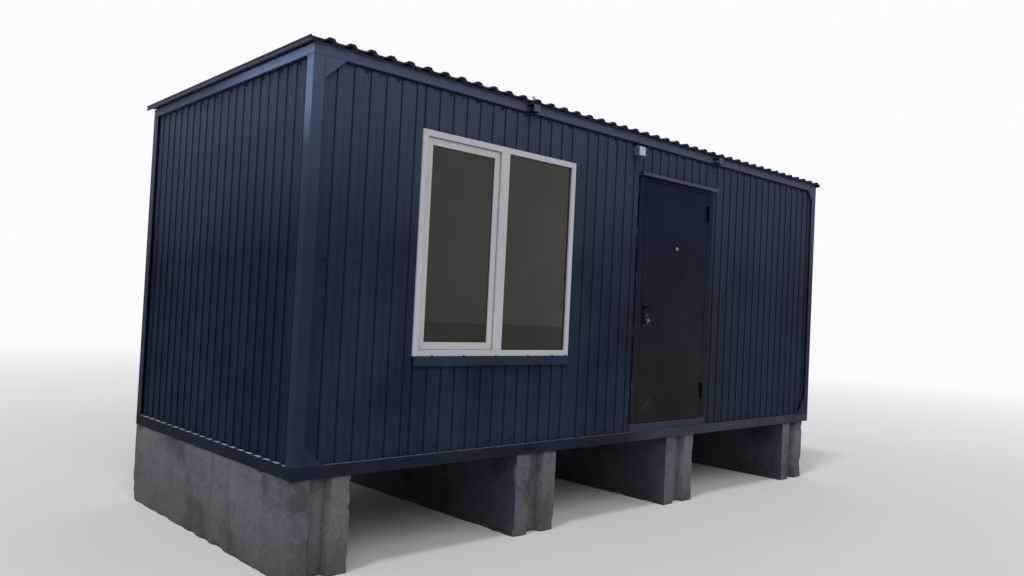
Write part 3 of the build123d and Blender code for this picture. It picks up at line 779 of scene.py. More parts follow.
joist_timber = sawn_timber("joist_timber", joist_pale, joist_dark, "Y")
finish(joist_timber, "floor_joists")
finish(sawn_timber("purlin_timber", purlin_lit_pale, purlin_lit_dark, "X"), "roof_purlins")
deck_boards = boarded("deck_boards", deck_pale, deck_dark, "X", "Y", deck_board_width, deck_board_gap, 0.42)
finish(deck_boards, "floor_deck")
finish(painted_steel("under_floor", subfloor_coat, bare_rust, roughness=0.6, wear=0.5), "subfloor")


# Walls and ceiling
# Insulated walls lined inside with pale laminated panels 250 mm wide, and a ceiling of the
# same panels. Skirting boards cover the joint between the lining and the deck.

lining_pale = (0.66, 0.59, 0.48, 1)
lining_dark = (0.53, 0.45, 0.34, 1)
ceiling_pale = (0.72, 0.70, 0.66, 1)
ceiling_dark = (0.64, 0.61, 0.56, 1)
panel_width = 0.250
panel_gap = 0.003
skirting_height = 0.060
skirting_thickness = 0.012
skirting_rounding = 0.003
bevel_from = math.radians(35)


def panelled(name, pale, dark, along, across, roughness=0.38):
    """Laminated panels of the walls and the ceiling."""
    return boarded(name, pale, dark, along, across, panel_width, panel_gap, roughness)


lining_long = panelled("lining_long_walls", lining_pale, lining_dark, "Z", "X")
lining_ends = panelled("lining_end_walls", lining_pale, lining_dark, "Z", "Y")
finish(lining_long, "front_wall_left", "front_wall_below_window", "front_wall_above_window")
finish(lining_long, "front_wall_middle", "front_wall_above_door", "front_wall_right", "back_wall")
finish(lining_ends, "left_wall", "right_wall")
finish(panelled("ceiling_panels", ceiling_pale, ceiling_dark, "Y", "X", 0.45), "ceiling")


def add_box(shape, lo, hi):
    """A box between two corners, added to a bmesh, its faces outwards."""
    places = [(x, y, z) for z in (lo[2], hi[2]) for y in (lo[1], hi[1]) for x in (lo[0], hi[0])]
    corners = [shape.verts.new(point) for point in places]
    for quad in ((0, 2, 3, 1), (4, 5, 7, 6), (0, 1, 5, 4), (2, 6, 7, 3), (0, 4, 6, 2), (1, 3, 7, 5)):
        shape.faces.new([corners[index] for index in quad])


def softened(piece, width, segments=2):
    """Rounded edges on a piece, and smooth shading over them."""
    bevel = piece.modifiers.new("rounded_edges", "BEVEL")
    bevel.width = width
    bevel.segments = segments
    bevel.limit_method = "ANGLE"
    bevel.angle_limit = bevel_from
    bevel.harden_normals = True
    piece.data.shade_smooth()
    return piece


def skirting():
    """Boards along the foot of every wall, stopped at the doorway."""
    lo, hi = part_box("floor_deck")
    door_lo, door_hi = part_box("door_frame")
    near = skirting_thickness
    shape = bmesh.new()
    for x0, x1, y0, y1 in (
        (lo.x, hi.x, hi.y - near, hi.y),
        (lo.x, door_lo.x, lo.y, lo.y + near),
        (door_hi.x, hi.x, lo.y, lo.y + near),
        (lo.x, lo.x + near, lo.y + near, hi.y - near),
        (hi.x - near, hi.x, lo.y + near, hi.y - near),
    ):
        add_box(shape, (x0, y0, hi.z), (x1, y1, hi.z + skirting_height))
    piece = as_piece("skirting", shape, joist_timber, "cabin")
    return softened(piece, skirting_rounding)


skirting()


# Cladding
# Ribbed steel sheets, coated anthracite blue, screwed upright to the walls. The ribs are 8 mm
# deep at 115 mm pitch. The front is four sheets, lapped where their ribs change step.

cladding_coat = (0.0140, 0.0214, 0.0362, 1)
# A darker copy of the cladding coat for the two ends: painted shade.
shaded_end_cladding_coat = (0.0088, 0.0152, 0.0312, 1)
cladding_edge = (0.04, 0.05, 0.065, 1)
screw_coat = (0.011, 0.017, 0.030, 1)
screw_edge = (0.03, 0.035, 0.04, 1)
# The colour of a dark bead under the top rails, a painted shadow of the rails on the sheets.
under_rail_shadow_tone = (0.0042, 0.0080, 0.0190, 1)
rib_crown = 0.050
rib_slope = 0.008
rib_reach = rib_crown / 2 + rib_slope
last_rib_margin = 0.028
sheet_gauge = 0.001
front_first_ribs = [0.085, 0.846, 2.404, 4.181]
lap_width = 0.016
screw_head_across = 0.0095
screw_head_height = 0.0052
washer_radius = 0.0080
washer_thickness = 0.0022
washer_sides = 14
screw_below_rail = 0.024
screw_middle_row = 1.18
screw_above_rail = 0.045
window_margin = 0.03
sill_margin = 0.10
lock_side_margin = 0.02
hinge_side_margin = 0.04
drip_cap_margin = 0.06
shadow_bead_height = 0.012
shadow_bead_depth = 0.007


def sheet_paint(name, coat, slope_shade, shine, top_sheen, top_sheen_right):
    """The coat of the ribbed sheets, with painted shade on rib slopes and a painted sheen at the top."""
    return painted_steel(
        name,
        coat,
        cladding_edge,
        roughness=0.42,
        wear=0.22,
        dirt=0.20,
        peel=0.22,
        slope_shade=slope_shade,
        corner_shade=0.12,
        shine=shine,
        top_sheen=top_sheen,
        top_sheen_right=top_sheen_right,
    )


cladding_paint = sheet_paint("cladding_paint", cladding_coat, 0.72, 0.02, 0.62, 0.20)
shaded_end_cladding_paint = sheet_paint("shaded_end_cladding_paint", shaded_end_cladding_coat, 0.62, 0.01, 0.70, 0.70)
finish(cladding_paint, "cladding_front", "cladding_back")
finish(shaded_end_cladding_paint, "cladding_left", "cladding_right")


def build_screws():
    """Geometry nodes for self-drilling screws: a hexagon head on a domed sealing washer."""
    takes = {
        "Geometry": ("Geometry", None),
        "Facing": ("Vector", (0.0, -1.0, 0.0)),
        "Head Across": ("Float", screw_head_across),
        "Head Height": ("Float", screw_head_height),
        "Washer Radius": ("Float", washer_radius),
        "Washer Thickness": ("Float", washer_thickness),
        "Seed": ("Int", 0),
        "Material": ("Material", None),
    }
    tree, start, end = new_group("set_screws", "GeometryNodeTree", takes, {"Geometry": "Geometry"})
    thickness = start["Washer Thickness"]
    height = start["Head Height"]
    radius = start["Washer Radius"]
    inputs = {
        "Vertices": washer_sides,
        "Radius Top": maths(tree, "MULTIPLY", radius, 0.72),
        "Radius Bottom": radius,
        "Depth": thickness,
    }
    washer = place(tree, "GeometryNodeMeshCone", inputs)
    inputs = {
        "Vertices": 6,
        "Radius": maths(tree, "MULTIPLY", start["Head Across"], 0.577),
        "Depth": height,
    }
    head = place(tree, "GeometryNodeMeshCylinder", inputs)
    lift = maths(tree, "ADD", thickness, maths(tree, "MULTIPLY", height, 0.5))
    above = place(tree, "ShaderNodeCombineXYZ", {"Z": lift}).outputs[0]
    raised = place(tree, "GeometryNodeTransform", {"Geometry": head.outputs[0], "Translation": above})
    both = place(tree, "GeometryNodeJoinGeometry")
    tree.links.new(washer.outputs[0], both.inputs[0])
    tree.links.new(raised.outputs[0], both.inputs[0])
    aligned = place(tree, "FunctionNodeAlignRotationToVector", {"Vector": start["Facing"]}, axis="Z")
    inputs = {"Seed": start["Seed"], 3: math.pi / 3}
    turn = place(tree, "FunctionNodeRandomValue", inputs, data_type="FLOAT").outputs[1]
    spin = place(tree, "FunctionNodeAxisAngleToRotation", {"Angle": turn})
    inputs = {"Rotation": aligned.outputs[0], "Rotate By": spin.outputs[0]}
    rotation = place(tree, "FunctionNodeRotateRotation", inputs, rotation_space="LOCAL")
    inputs = {
        "Points": start["Geometry"],
        "Instance": both.outputs[0],
        "Rotation": rotation.outputs[0],
    }
    placed = place(tree, "GeometryNodeInstanceOnPoints", inputs)
    coated_mesh(tree, placed.outputs[0], start["Material"], end)
    return tree


set_screws = build_screws()


def screws(name, points, way, material, body, seed, across=screw_head_across):
    """Screws at a list of points, their heads outwards along one direction."""
    size = across / screw_head_across
    values = {
        "Facing": way,
        "Seed": seed,
        "Material": material,
        "Head Across": across,
        "Head Height": screw_head_height * size,
        "Washer Radius": washer_radius * size,
    }
    return shaped_by(set_screws, name, points, [], values, body)


def rib_middles(first_ribs, length):
    """The middle of every rib along a face, from its left end or its front."""
    limits = [rib - rib_reach for rib in first_ribs[1:]] + [length - last_rib_margin]
    middles = []
    for middle, limit in zip(first_ribs, limits):
        while middle + rib_reach < limit:
            middles.append(middle)
            middle += rib_pitch
    return middles


def valley_places(first_ribs, length):
    """Every second valley along a face, where a row of screws holds the sheet."""
    return [middle - rib_pitch / 2 for middle in rib_middles(first_ribs, length)[1::2]]


screw_paint = painted_steel("screw_paint", screw_coat, screw_edge, roughness=0.45, wear=0.4, dirt=0.15)
clad_lo, clad_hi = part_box("cladding_front")
window_lo, window_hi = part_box("window_frame")
door_lo, door_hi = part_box("door_frame")
front_length = far_corner.x - corner.x
end_depth = far_corner.y - corner.y
front_face = clad_hi.y - sheet_gauge
low_rows = [clad_lo.z + screw_above_rail, clad_lo.z + screw_middle_row]
top_row = clad_hi.z - screw_below_rail


def clear_of_openings(x, z):
    """Whether a place on the front is on sheet, and not in or next to the window or the door."""
    over_window = window_lo.x - window_margin < x < window_hi.x + window_margin
    in_window = over_window and window_lo.z - sill_margin < z < window_hi.z + window_margin
    over_door = door_lo.x - lock_side_margin < x < door_hi.x + hinge_side_margin
    return not in_window and not (over_door and z < door_hi.z + drip_cap_margin)


def cladding_screws():
    """Rows of screws on all four sides, left out where the window and the door are."""
    front = valley_places(front_first_ribs, front_length)
    back = valley_places(front_first_ribs[:1], front_length)
    end = valley_places([end_first_rib], end_depth)
    places = [(corner.x + along, z) for along in front for z in low_rows + [top_row]]
    front_points = [(x, front_face, z) for x, z in places if clear_of_openings(x, z)]
    back_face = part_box("cladding_back")[0].y + sheet_gauge
    heights = low_rows + [top_row - roof_fall]
    back_points = [(corner.x + along, back_face, z) for along in back for z in heights]
    places = [(along, z) for along in end for z in low_rows]
    places += [(along, top_row - roof_slope * along) for along in end]
    left_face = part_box("cladding_left")[1].x - sheet_gauge
    right_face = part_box("cladding_right")[0].x + sheet_gauge
    for side, points, way, seed in (
        ("front", front_points, (0, -1, 0), 3),
        ("back", back_points, (0, 1, 0), 4),
        ("left", [(left_face, corner.y + along, z) for along, z in places], (-1, 0, 0), 5),
        ("right", [(right_face, corner.y + along, z) for along, z in places], (1, 0, 0), 6),
    ):
        screws(f"cladding_screws_{side}", points, way, screw_paint, "cabin", seed)


def sheet_laps():
    """The free edges of the laps beside the window and the door, on the flat of the next sheet."""
    shape = bmesh.new()
    for first in front_first_ribs[2:]:
        right = corner.x + first - rib_reach - rib_pitch
        low = (right - lap_width, front_face - sheet_gauge, clad_lo.z)
        add_box(shape, low, (right, front_face, clad_hi.z))
    piece = as_piece("cladding_laps", shape, cladding_paint, "cabin")
    return softened(piece, 0.0003, 1)


def rubber(name, shade, shine=0.3):
    """Sealing rubber, mastic or soft plastic, matt and faintly dusty."""
    material, tree, shader, point = new_material(name, Specular_IOR_Level=shine)
    grain = effect(tree, fine_grain, Point=point, Grain_Size=0.003)
    dusty = mixed(tree, grain["Tone"], shade, toned(shade, 2.2))
    wire(tree, shader.inputs, Base_Color=dusty, Roughness=ramp(tree, grain["Height"], 0.3, 0.7, 0.62, 0.8))
    relief(tree, shader, grain["Height"], 0.0003, 0.5)
    return material


def shadow_bead_under_rails():
    """A dark bead all round under the top rails: the painted shadow that the rails cast on the sheets."""
    face = clad_lo.y - corner.y
    far_x = front_length - face
    far_y = end_depth - face
    top = clad_hi.z - corner.z
    runs = (
        (post_leg, front_length - post_leg, face - shadow_bead_depth, face),
        (post_leg, front_length - post_leg, far_y, far_y + shadow_bead_depth),
        (face - shadow_bead_depth, face, post_leg, end_depth - post_leg),
        (far_x, far_x + shadow_bead_depth, post_leg, end_depth - post_leg),
    )
    shape = bmesh.new()
    for x0, x1, y0, y1 in runs:
        add_box(shape, (x0, y0, top - shadow_bead_height), (x1, y1, top))
    for vertex in shape.verts:
        vertex.co += corner
        vertex.co.z -= roof_slope * (vertex.co.y - corner.y)
    piece = as_piece("shadow_bead_under_rails", shape, painted_rail_shadow, "cabin")
    return softened(piece, 0.0025)


# The bead under the rails is painted shadow, in a dark blue rubber.
painted_rail_shadow = rubber("painted_rail_shadow", under_rail_shadow_tone, 0.03)
cladding_screws()
sheet_laps()
shadow_bead_under_rails()


# Roof
# Ribbed roof sheet on a ring of battens and three purlins, screwed down through its valleys.
# It is coated a dull violet-grey on both sides, paled by a painted sheen, and folded strips close
# its two side edges.

roof_rib_pitch = 0.1395
roof_first_rib = 0.086
roof_level = 2.501
roof_coat = (0.036, 0.034, 0.056, 1)
roof_edge = (0.036, 0.033, 0.042, 1)
verge_height = 0.022
verge_gauge = 0.0015
verge_setback = 0.0025
verge_bend = 0.0022
verge_flange = 0.010
verge_end_gap = 0.004
crease_from = math.radians(40)
batten_middle = 0.032
purlin_shares = (0.25, 0.5, 0.75)
roof_screw_across = 0.0105

# The roof paint takes the painted sheen too, which pales nearly all of it.
roof_paint = painted_steel(
    "roof_paint", roof_coat, roof_edge, 0.5, wear=0.35, dirt=0.2, peel=0.3, top_sheen=0.5, top_sheen_right=0.5
)
finish(roof_paint, "roof_sheet")


def lofted(shape, rings, closed=False):
    """A skin over a row of rings of points, closed at both ends or back on itself."""
    loops = [[shape.verts.new(point) for point in ring] for ring in rings]
    for first, second in zip(loops, loops[1:]):
        band(shape, first, second)
    if closed:
        band(shape, loops[-1], loops[0])
    else:
        shape.faces.new(list(reversed(loops[0])))
        shape.faces.new(loops[-1])


def faced_outwards(piece):
    """Outward normals all over a closed piece, and smooth shading."""
    shape = bmesh.new()
    shape.from_mesh(piece.data)
    bmesh.ops.recalc_face_normals(shape, faces=shape.faces)
    shape.to_mesh(piece.data)
    shape.free()
    piece.data.shade_smooth()
    piece.data.set_sharp_from_angle(angle=crease_from)
    return piece


def verge_trims():
    """Folded strips under the sheet's two side edges: a flange, a face and a turned-in foot."""
    sheet_lo, sheet_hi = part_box("roof_sheet")
    bend = verge_bend
    top = corner.z + roof_level - verge_gauge
    foot = top - verge_height
    shape = bmesh.new()
    for edge, frame_end, side in ((sheet_lo.x, corner.x, -1), (sheet_hi.x, far_corner.x, 1)):
        face = edge - side * verge_setback
        root = frame_end - side * verge_flange
        inner = face - side * verge_gauge
        lip = face - side * verge_flange
        section = [
            (root, top),
            (face - side * bend, top),
            (face, top - bend),
            (face, foot + bend),
            (face - side * bend, foot),
            (lip, foot),
            (lip, foot + verge_gauge),
            (inner - side * bend, foot + verge_gauge),
            (inner, foot + verge_gauge + bend),
            (inner, top - verge_gauge - bend),
            (inner - side * bend, top - verge_gauge),
            (root, top - verge_gauge),
        ]
        rings = []
        for y in (sheet_lo.y + verge_end_gap, sheet_hi.y - verge_end_gap):
            drop = roof_slope * (y - corner.y)
            rings.append([Vector((x, y, z - drop)) for x, z in section])
        lofted(shape, rings)
    return faced_outwards(as_piece("verge_trims", shape, roof_paint, "cabin"))


def roof_screws():
    """Screws through every second valley into the battens and the purlins."""
    rows = [corner.y + batten_middle, far_corner.y - batten_middle]
    rows += [corner.y + end_depth * share for share in purlin_shares]
    points = []
    x = corner.x + roof_first_rib + roof_rib_pitch / 2
    while x < far_corner.x:
        points += [(x, y, corner.z + roof_level - roof_slope * (y - corner.y)) for y in rows]
        x += 2 * roof_rib_pitch
    screws("roof_screws", points, (0, 0, 1), screw_paint, "cabin", 7, roof_screw_across)


roof_screws()
verge_trims()


# Window
# A white plastic window: a frame with one mullion, an opening sash in the left light, and two
# sealed glass units in black gaskets. A folded steel sill is screwed on under its foot.

white_plastic = (0.42, 0.42, 0.437, 1)
plastic_streak = (0.24, 0.23, 0.215, 1)
plastic_edge = (0.30, 0.295, 0.29, 1)
glass_deep = (0.10, 0.10, 0.075, 1)
# Paler blotches on the glass: painted reflections.
glass_reflection_blotch = (0.24, 0.23, 0.18, 1)
glass_shine = (0.88, 0.81, 0.70, 1)
gasket_black = (0.012, 0.012, 0.013, 1)
seal_grey = (0.115, 0.112, 0.115, 1)
spacer_steel = (0.50, 0.51, 0.52, 1)
gasket_width = 0.0045
gasket_proud = 0.0022
glass_thickness = 0.004
spacer_width = 0.012
frame_face = 0.040
frame_lip = 0.014
mullion_left = 0.677
sash_face = 0.060
seal_width = 0.0055
seal_proud = 0.004
sill_screw_rise = 0.0045
sill_screw_places = (0.958, 1.226, 1.513, 1.822, 2.069, 2.209)
sill_screw_across = 0.0062
handle_rose = ((0.0, 0.014, 0.033), (0.007, 0.014, 0.033), (0.009, 0.011, 0.030))
handle_neck = ((0.008, 0.009), (0.026, 0.009), (0.032, 0.007))
handle_reach = 0.030
handle_grip = (
    (0.012, 0.005),
    (0.008, 0.009),
    (-0.030, 0.0085),
    (-0.080, 0.0075),
    (-0.112, 0.007),
    (-0.118, 0.004),
)
side_way = Vector((1, 0, 0))
depth_way = Vector((0, 1, 0))
rise = Vector((0, 0, 1))


def window_plastic():
    """Smooth white plastic, greyed in patches, streaked by rain and dull at its edges."""
    material, tree, shader, point = new_material("window_plastic", IOR=1.46)
    weather = effect(tree, weathering, Point=point, Streak_Width=0.02, Splash_Height=2.0)
    edges = effect(tree, edge_wear, Point=point, Radius=0.003, Raggedness=60.0, Cover=0.35)
    tone = laid_over(tree, white_plastic, weather["Mottle"], 0.5, toned(white_plastic, 0.86))
    tone = laid_over(tree, tone, weather["Streaks"], 0.25, plastic_streak)
    tone = laid_over(tree, tone, edges["Worn"], 0.25, plastic_edge)
    dull = ramp(tree, weather["Mottle"], 0.0, 1.0, 0.24, 0.38)
    wire(tree, shader.inputs, Base_Color=tone, Roughness=dull)
    relief(tree, shader, speckle(tree, point, 90.0, 3.0), 0.0002, 0.3, edges["Normal"])
    return material


def window_glass():
    """Toned glass, warm grey, with paler blotches painted on as reflections."""
    material, tree, shader, point = new_material(
        "window_glass", Transmission_Weight=1.0, IOR=1.50, Metallic=0.0, Roughness=0.0
    )
    weather = effect(tree, weathering, Point=point, Streak_Width=0.016, Splash_Height=2.6)
    shader.inputs["Specular Tint"].default_value = glass_shine
    tree.links.new(mixed(tree, weather["Mottle"], glass_deep, glass_reflection_blotch), shader.inputs["Base Color"])
    return material


window_white = window_plastic()
black_gasket = rubber("black_gasket", gasket_black)
grey_seal = rubber("grey_seal", seal_grey)
pane_glass = window_glass()
finish(window_white, "window_frame", "window_sash")


def mitred_ring(shape, x0, x1, z0, z1, section):
    """A frame with mitred corners. Its section is points of inset from the outside, and depth."""
    loops = []
    for inset, y in section:
        left, right, foot, head = x0 + inset, x1 - inset, z0 + inset, z1 - inset
        places = ((left, foot), (right, foot), (right, head), (left, head))
        loops.append([shape.verts.new((x, y, z)) for x, z in places])
    for first, second in zip(loops, loops[1:] + loops[:1]):
        band(shape, first, second)


def round_ring(middle, across, upward, half_across, half_upward, sides):
    """Points round an ellipse, set out along two directions."""
    points = []
    for index in range(sides):
        turn = 2 * math.pi * index / sides
        sideways = half_across * math.cos(turn) * across
        points.append(middle + sideways + half_upward * math.sin(turn) * upward)
    return points


def oval_form(shape, middle, along, across, upward, profile, sides, closed=False):
    """A form from a distance along one direction and the two half widths of its section there."""
    rings = []
    for reach, half_across, half_upward in profile:
        at = middle + reach * along
        rings.append(round_ring(at, across, upward, half_across, half_upward, sides))
    lofted(shape, rings, closed)


def turned_form(shape, middle, along, across, profile, sides, closed=False):
    """A round form, from pairs of a distance along one direction and a radius there."""
    upward = rise if along.z == 0 else depth_way
    sections = [(reach, radius, radius) for reach, radius in profile]
    oval_form(shape, middle, along, across, upward, sections, sides, closed)


def bent_rod(shape, path, flat, radius, sides, closed=False):
    """Round rod along a path that lies in one plane, given by the plane's normal."""
    rings = []
    count = len(path)
    for index, point in enumerate(path):
        before = path[index - 1] if closed or index else point
        after = path[(index + 1) % count] if closed or index < count - 1 else point
        along = (after - before).normalized()
        rings.append(round_ring(point, flat.cross(along), flat, radius, radius, sides))
    lofted(shape, rings, closed)


def pane_places():
    """The two glass units as the frame holds them: their lowest and their highest corners."""
    for points in left_and_right("window_panes"):
        sides = list(zip(*points))
        yield Vector([min(side) for side in sides]), Vector([max(side) for side in sides])


def glazing():
    """Outer and inner sheet of each unit with a metal spacer between, and gaskets round both."""
    glass = bmesh.new()
    spacers = bmesh.new()
    gaskets = bmesh.new()
    for lo, hi in pane_places():
        inner_front = lo.y + glass_thickness
        inner_back = hi.y - glass_thickness
        add_box(glass, lo, (hi.x, inner_front, hi.z))
        add_box(glass, (lo.x, inner_back, lo.z), hi)
        section = [
            (0, inner_front),
            (spacer_width, inner_front),
            (spacer_width, inner_back),
            (0, inner_back),
        ]
        mitred_ring(spacers, lo.x, hi.x, lo.z, hi.z, section)
        for face, out in ((lo.y, -gasket_proud), (hi.y, gasket_proud)):
            section = [
                (0, face),
                (0, face + out),
                (0.4 * gasket_width, face + 1.2 * out),
                (gasket_width, face + 0.3 * out),
                (gasket_width, face),
            ]
            mitred_ring(gaskets, lo.x, hi.x, lo.z, hi.z, section)
    panes = as_piece("window_glass_units", glass, pane_glass, "cabin")
    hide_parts("window_panes")
    faced_outwards(as_piece("glass_spacers", spacers, bright_steel, "cabin"))
    faced_outwards(as_piece("glass_gaskets", gaskets, black_gasket, "cabin"))


def bare_metal(name, tone, roughness):
    """Plated or brushed metal with fine scratches and dull patches."""
    material, tree, shader, point = new_material(name, Metallic=1.0)
    grain = effect(tree, fine_grain, Point=point, Grain_Size=0.0012, Stretch=(1.0, 1.0, 0.08))
    shade = mixed(tree, grain["Tone"], toned(tone, 0.72), tone)
    dull = ramp(tree, grain["Tone"], 0.0, 1.0, roughness, roughness + 0.18)
    wire(tree, shader.inputs, Base_Color=shade, Roughness=dull)
    relief(tree, shader, grain["Height"], 0.0001, 0.4)
    return material


def sash_seal():
    """The grey lip seal between the frame and the opening sash."""
    left = window_lo.x + frame_face
    right = window_lo.x + mullion_left
    foot = window_lo.z + frame_face
    head = window_hi.z - frame_face
    face = window_lo.y + frame_lip
    section = [
        (0, face),
        (0, face - seal_proud),
        (0.6 * seal_width, face - 0.8 * seal_proud),
        (seal_width, face),
    ]
    shape = bmesh.new()
    mitred_ring(shape, left, right, foot, head, section)
    return faced_outwards(as_piece("sash_seal", shape, grey_seal, "cabin"))


def sash_handle():
    """The white turning handle inside the room, halfway up the sash's free side."""
    x = window_lo.x + mullion_left - 0.5 * sash_face
    middle = Vector((x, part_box("window_sash")[1].y, (window_lo.z + window_hi.z) / 2))
    grip = middle + handle_reach * depth_way
    sections = [(height, wide, 0.7 * wide) for height, wide in handle_grip]
    shape = bmesh.new()
    oval_form(shape, middle, depth_way, side_way, rise, handle_rose, 20)
    turned_form(shape, middle, depth_way, side_way, handle_neck, 14)
    oval_form(shape, grip, rise, side_way, depth_way, sections, 14)
    return faced_outwards(as_piece("sash_handle", shape, window_white, "cabin"))


def sill_screws():
    """Small dark screws through the foot of the frame into the turned-up edge of the sill."""
    points = [(corner.x + x, window_lo.y, window_lo.z + sill_screw_rise) for x in sill_screw_places]
    screws("sill_screws", points, (0, -1, 0), screw_paint, "cabin", 8, sill_screw_across)


bright_steel = bare_metal("bright_steel", spacer_steel, 0.28)
finish(frame_paint, "window_sill")
glazing()
sash_seal()
sash_handle()
sill_screws()


# Door
# A flush leaf of folded sheet steel in a folded frame, both sprayed nearly black. A painted
# reflection tints the paint brown low down and blue high up. It has scuffs near the foot and is
# chipped beside the lock.

door_coat = (0.0095, 0.0110, 0.0150, 1)
door_edge = (0.05, 0.052, 0.058, 1)
scuff_tone = (0.034, 0.030, 0.028, 1)
chipped_steel = (0.115, 0.135, 0.165, 1)
threshold_coat = (0.030, 0.038, 0.055, 1)
# Tints of a painted reflection: brown of the ground at the foot of the door, blue of the sky at its head.
ground_reflection_tint = (1.30, 1.10, 1.00, 1)
sky_reflection_tint = (0.55, 0.95, 1.55, 1)
cap_coat = (0.064, 0.072, 0.108, 1)
cap_edge = (0.12, 0.13, 0.15, 1)
fitting_black = (0.0022, 0.0028, 0.0052, 1)
fitting_edge = (0.020, 0.022, 0.028, 1)
key_tone = (0.17, 0.18, 0.18, 1)
fob_tone = (0.13, 0.14, 0.13, 1)
threshold_height = 0.064
threshold_soft = 0.001
ground_reflection_below = 0.2
sky_reflection_from_head = 0.3
scuff_top = (1.0, 1.6)
chipped_edge = 0.0025
chipped_soft = 0.001
scuff_slant = math.radians(38)
heel_mark = (corner.x + 3.225, 0.0, corner.z + 0.300)
heel_mark_reach = (0.10, 10.0, 0.022)
heel_mark_slant = math.radians(-42)
lever_half_width = 0.010
lever_reach = 0.042
cylinder_proud = 0.004
cylinder_height = 0.096
plate_screw_margin = 0.012
plate_screw_across = 0.0055
leaf_gap = 0.005
seal_gap = 0.0006
seal_dome = 0.0012
seal_inset = 0.007
seal_middle = 0.010
seal_reach = 0.014
key_thickness = 0.0024
key_ring_thickness = 0.0009
second_key_thickness = 0.0022
key_bow_reach = 0.017
key_shank = (Vector((-0.0012, -0.0075, -0.004)), Vector((0.0012, 0.004, 0.004)))
ring_from_bow = Vector((0.0, -0.004, -0.0195))
second_key_from_ring = Vector((0.004, 0.0, -0.0215))
fob_from_ring = Vector((0.0105, 0.0, -0.0085))
lever_stations = (
    (0.0, 0.0, 0.0090, 0.0090),
    (0.0, 0.014, 0.0080, 0.0080),
    (0.0, 0.024, 0.0082, 0.0080),
    (0.003, 0.032, 0.0088, 0.0072),
    (0.012, 0.0362, 0.0095, 0.0058),
    (0.030, 0.0368, 0.0098, 0.0052),
    (0.060, 0.0364, 0.0096, 0.0048),
    (0.088, 0.0358, 0.0088, 0.0044),
    (0.101, 0.0354, 0.0075, 0.0038),
    (0.1065, 0.0352, 0.0045, 0.0026),
    (0.108, 0.0352, 0.0012, 0.0008),
)
collar_profile = ((0.0, 0.0165), (0.0022, 0.0165), (0.0034, 0.0150), (0.0034, 0.0094), (0.0, 0.0094))
lens_profile = ((-0.001, 0.0058), (0.0004, 0.0058), (0.0012, 0.0044), (0.0016, 0.0020), (0.0017, 0.0004))
key_bow_radius = 0.0085
key_ring_radius = 0.0135
key_blade = (
    (0.008, 0.0038),
    (0.014, 0.0042),
    (0.020, 0.0030),
    (0.024, 0.0042),
    (0.029, 0.0028),
    (0.034, 0.0040),
    (0.040, 0.0026),
    (0.044, 0.0010),
)
key_blade_half = 0.0011
fob_outline = (
    (0.0, 0.0010),
    (0.0015, 0.0040),
    (0.006, 0.0075),
    (0.014, 0.0098),
    (0.024, 0.0098),
    (0.032, 0.0075),
    (0.0365, 0.0040),
    (0.038, 0.0010),
)


def scuffed(tree, point, paint):
    """Door paint with a painted reflection, browner below and bluer above; slanting scuffs, a heel mark."""
    height = parts_of(tree, point)["Z"]
    inputs = {"Vector": point, "Rotation": (0, scuff_slant, 0)}
    long = stretched(tree, place(tree, "ShaderNodeMapping", inputs).outputs[0], 0.35, 1.0, 9.0)
    scuffs = ramp(tree, speckle(tree, long, 4.0, 5.0, 0.7), 0.60, 0.74)
    scuffs = maths(tree, "MULTIPLY", scuffs, ramp(tree, height, *scuff_top, 0.40, 0.04))
    reach = distance_in(tree, point, heel_mark, heel_mark_reach, heel_mark_slant)
    patches = ramp(tree, speckle(tree, point, 60.0, 5.0, 0.7), 0.35, 0.65)
    torn = maths(tree, "MULTIPLY", ramp(tree, reach, 1.4, 0.3), patches)
    # Painted reflection: the paint is tinted from the ground's brown below to the sky's blue above.
    faded = ramp(tree, height, door_lo.z + ground_reflection_below, door_hi.z - sky_reflection_from_head)
    tinted = mixed(tree, 1.0, paint, mixed(tree, faded, ground_reflection_tint, sky_reflection_tint), "MULTIPLY")
    return mixed(tree, maths(tree, "MAXIMUM", scuffs, torn), tinted, scuff_tone)


def chipped(tree, point, paint):
    """Frame paint, bluer on the trodden threshold and chipped along the lock side."""
    parts = parts_of(tree, point)
    top = door_lo.z + threshold_height
    foot = ramp(tree, parts["Z"], top - threshold_soft, top + threshold_soft, 1.0, 0.0)
    side = door_lo.x + chipped_edge
    edge = ramp(tree, parts["X"], side - chipped_soft, side + chipped_soft, 1.0, 0.0)
    long = stretched(tree, point, 1.0, 1.0, 0.18)
    chips = ramp(tree, speckle(tree, long, 22.0, 5.0, 0.7), 0.55, 0.64)
    return laid_over(tree, mixed(tree, foot, paint, threshold_coat), edge, chips, chipped_steel)


def door_coating(name):
    """The paint of leaf and frame, with the scuffs of use and a painted reflection."""
    paint = painted_steel(name, door_coat, door_edge, wear=0.12, dirt=0.10, peel=0.5, shine=0.03)
    return recoated(paint, scuffed)


lever_lo, lever_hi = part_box("door_levers")
plate_lo, plate_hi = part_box("door_lock_plates")
leaf_lo, leaf_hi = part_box("door_leaf")
spindle = lever_lo.x + lever_half_width
spindle_height = (lever_lo.z + lever_hi.z) / 2


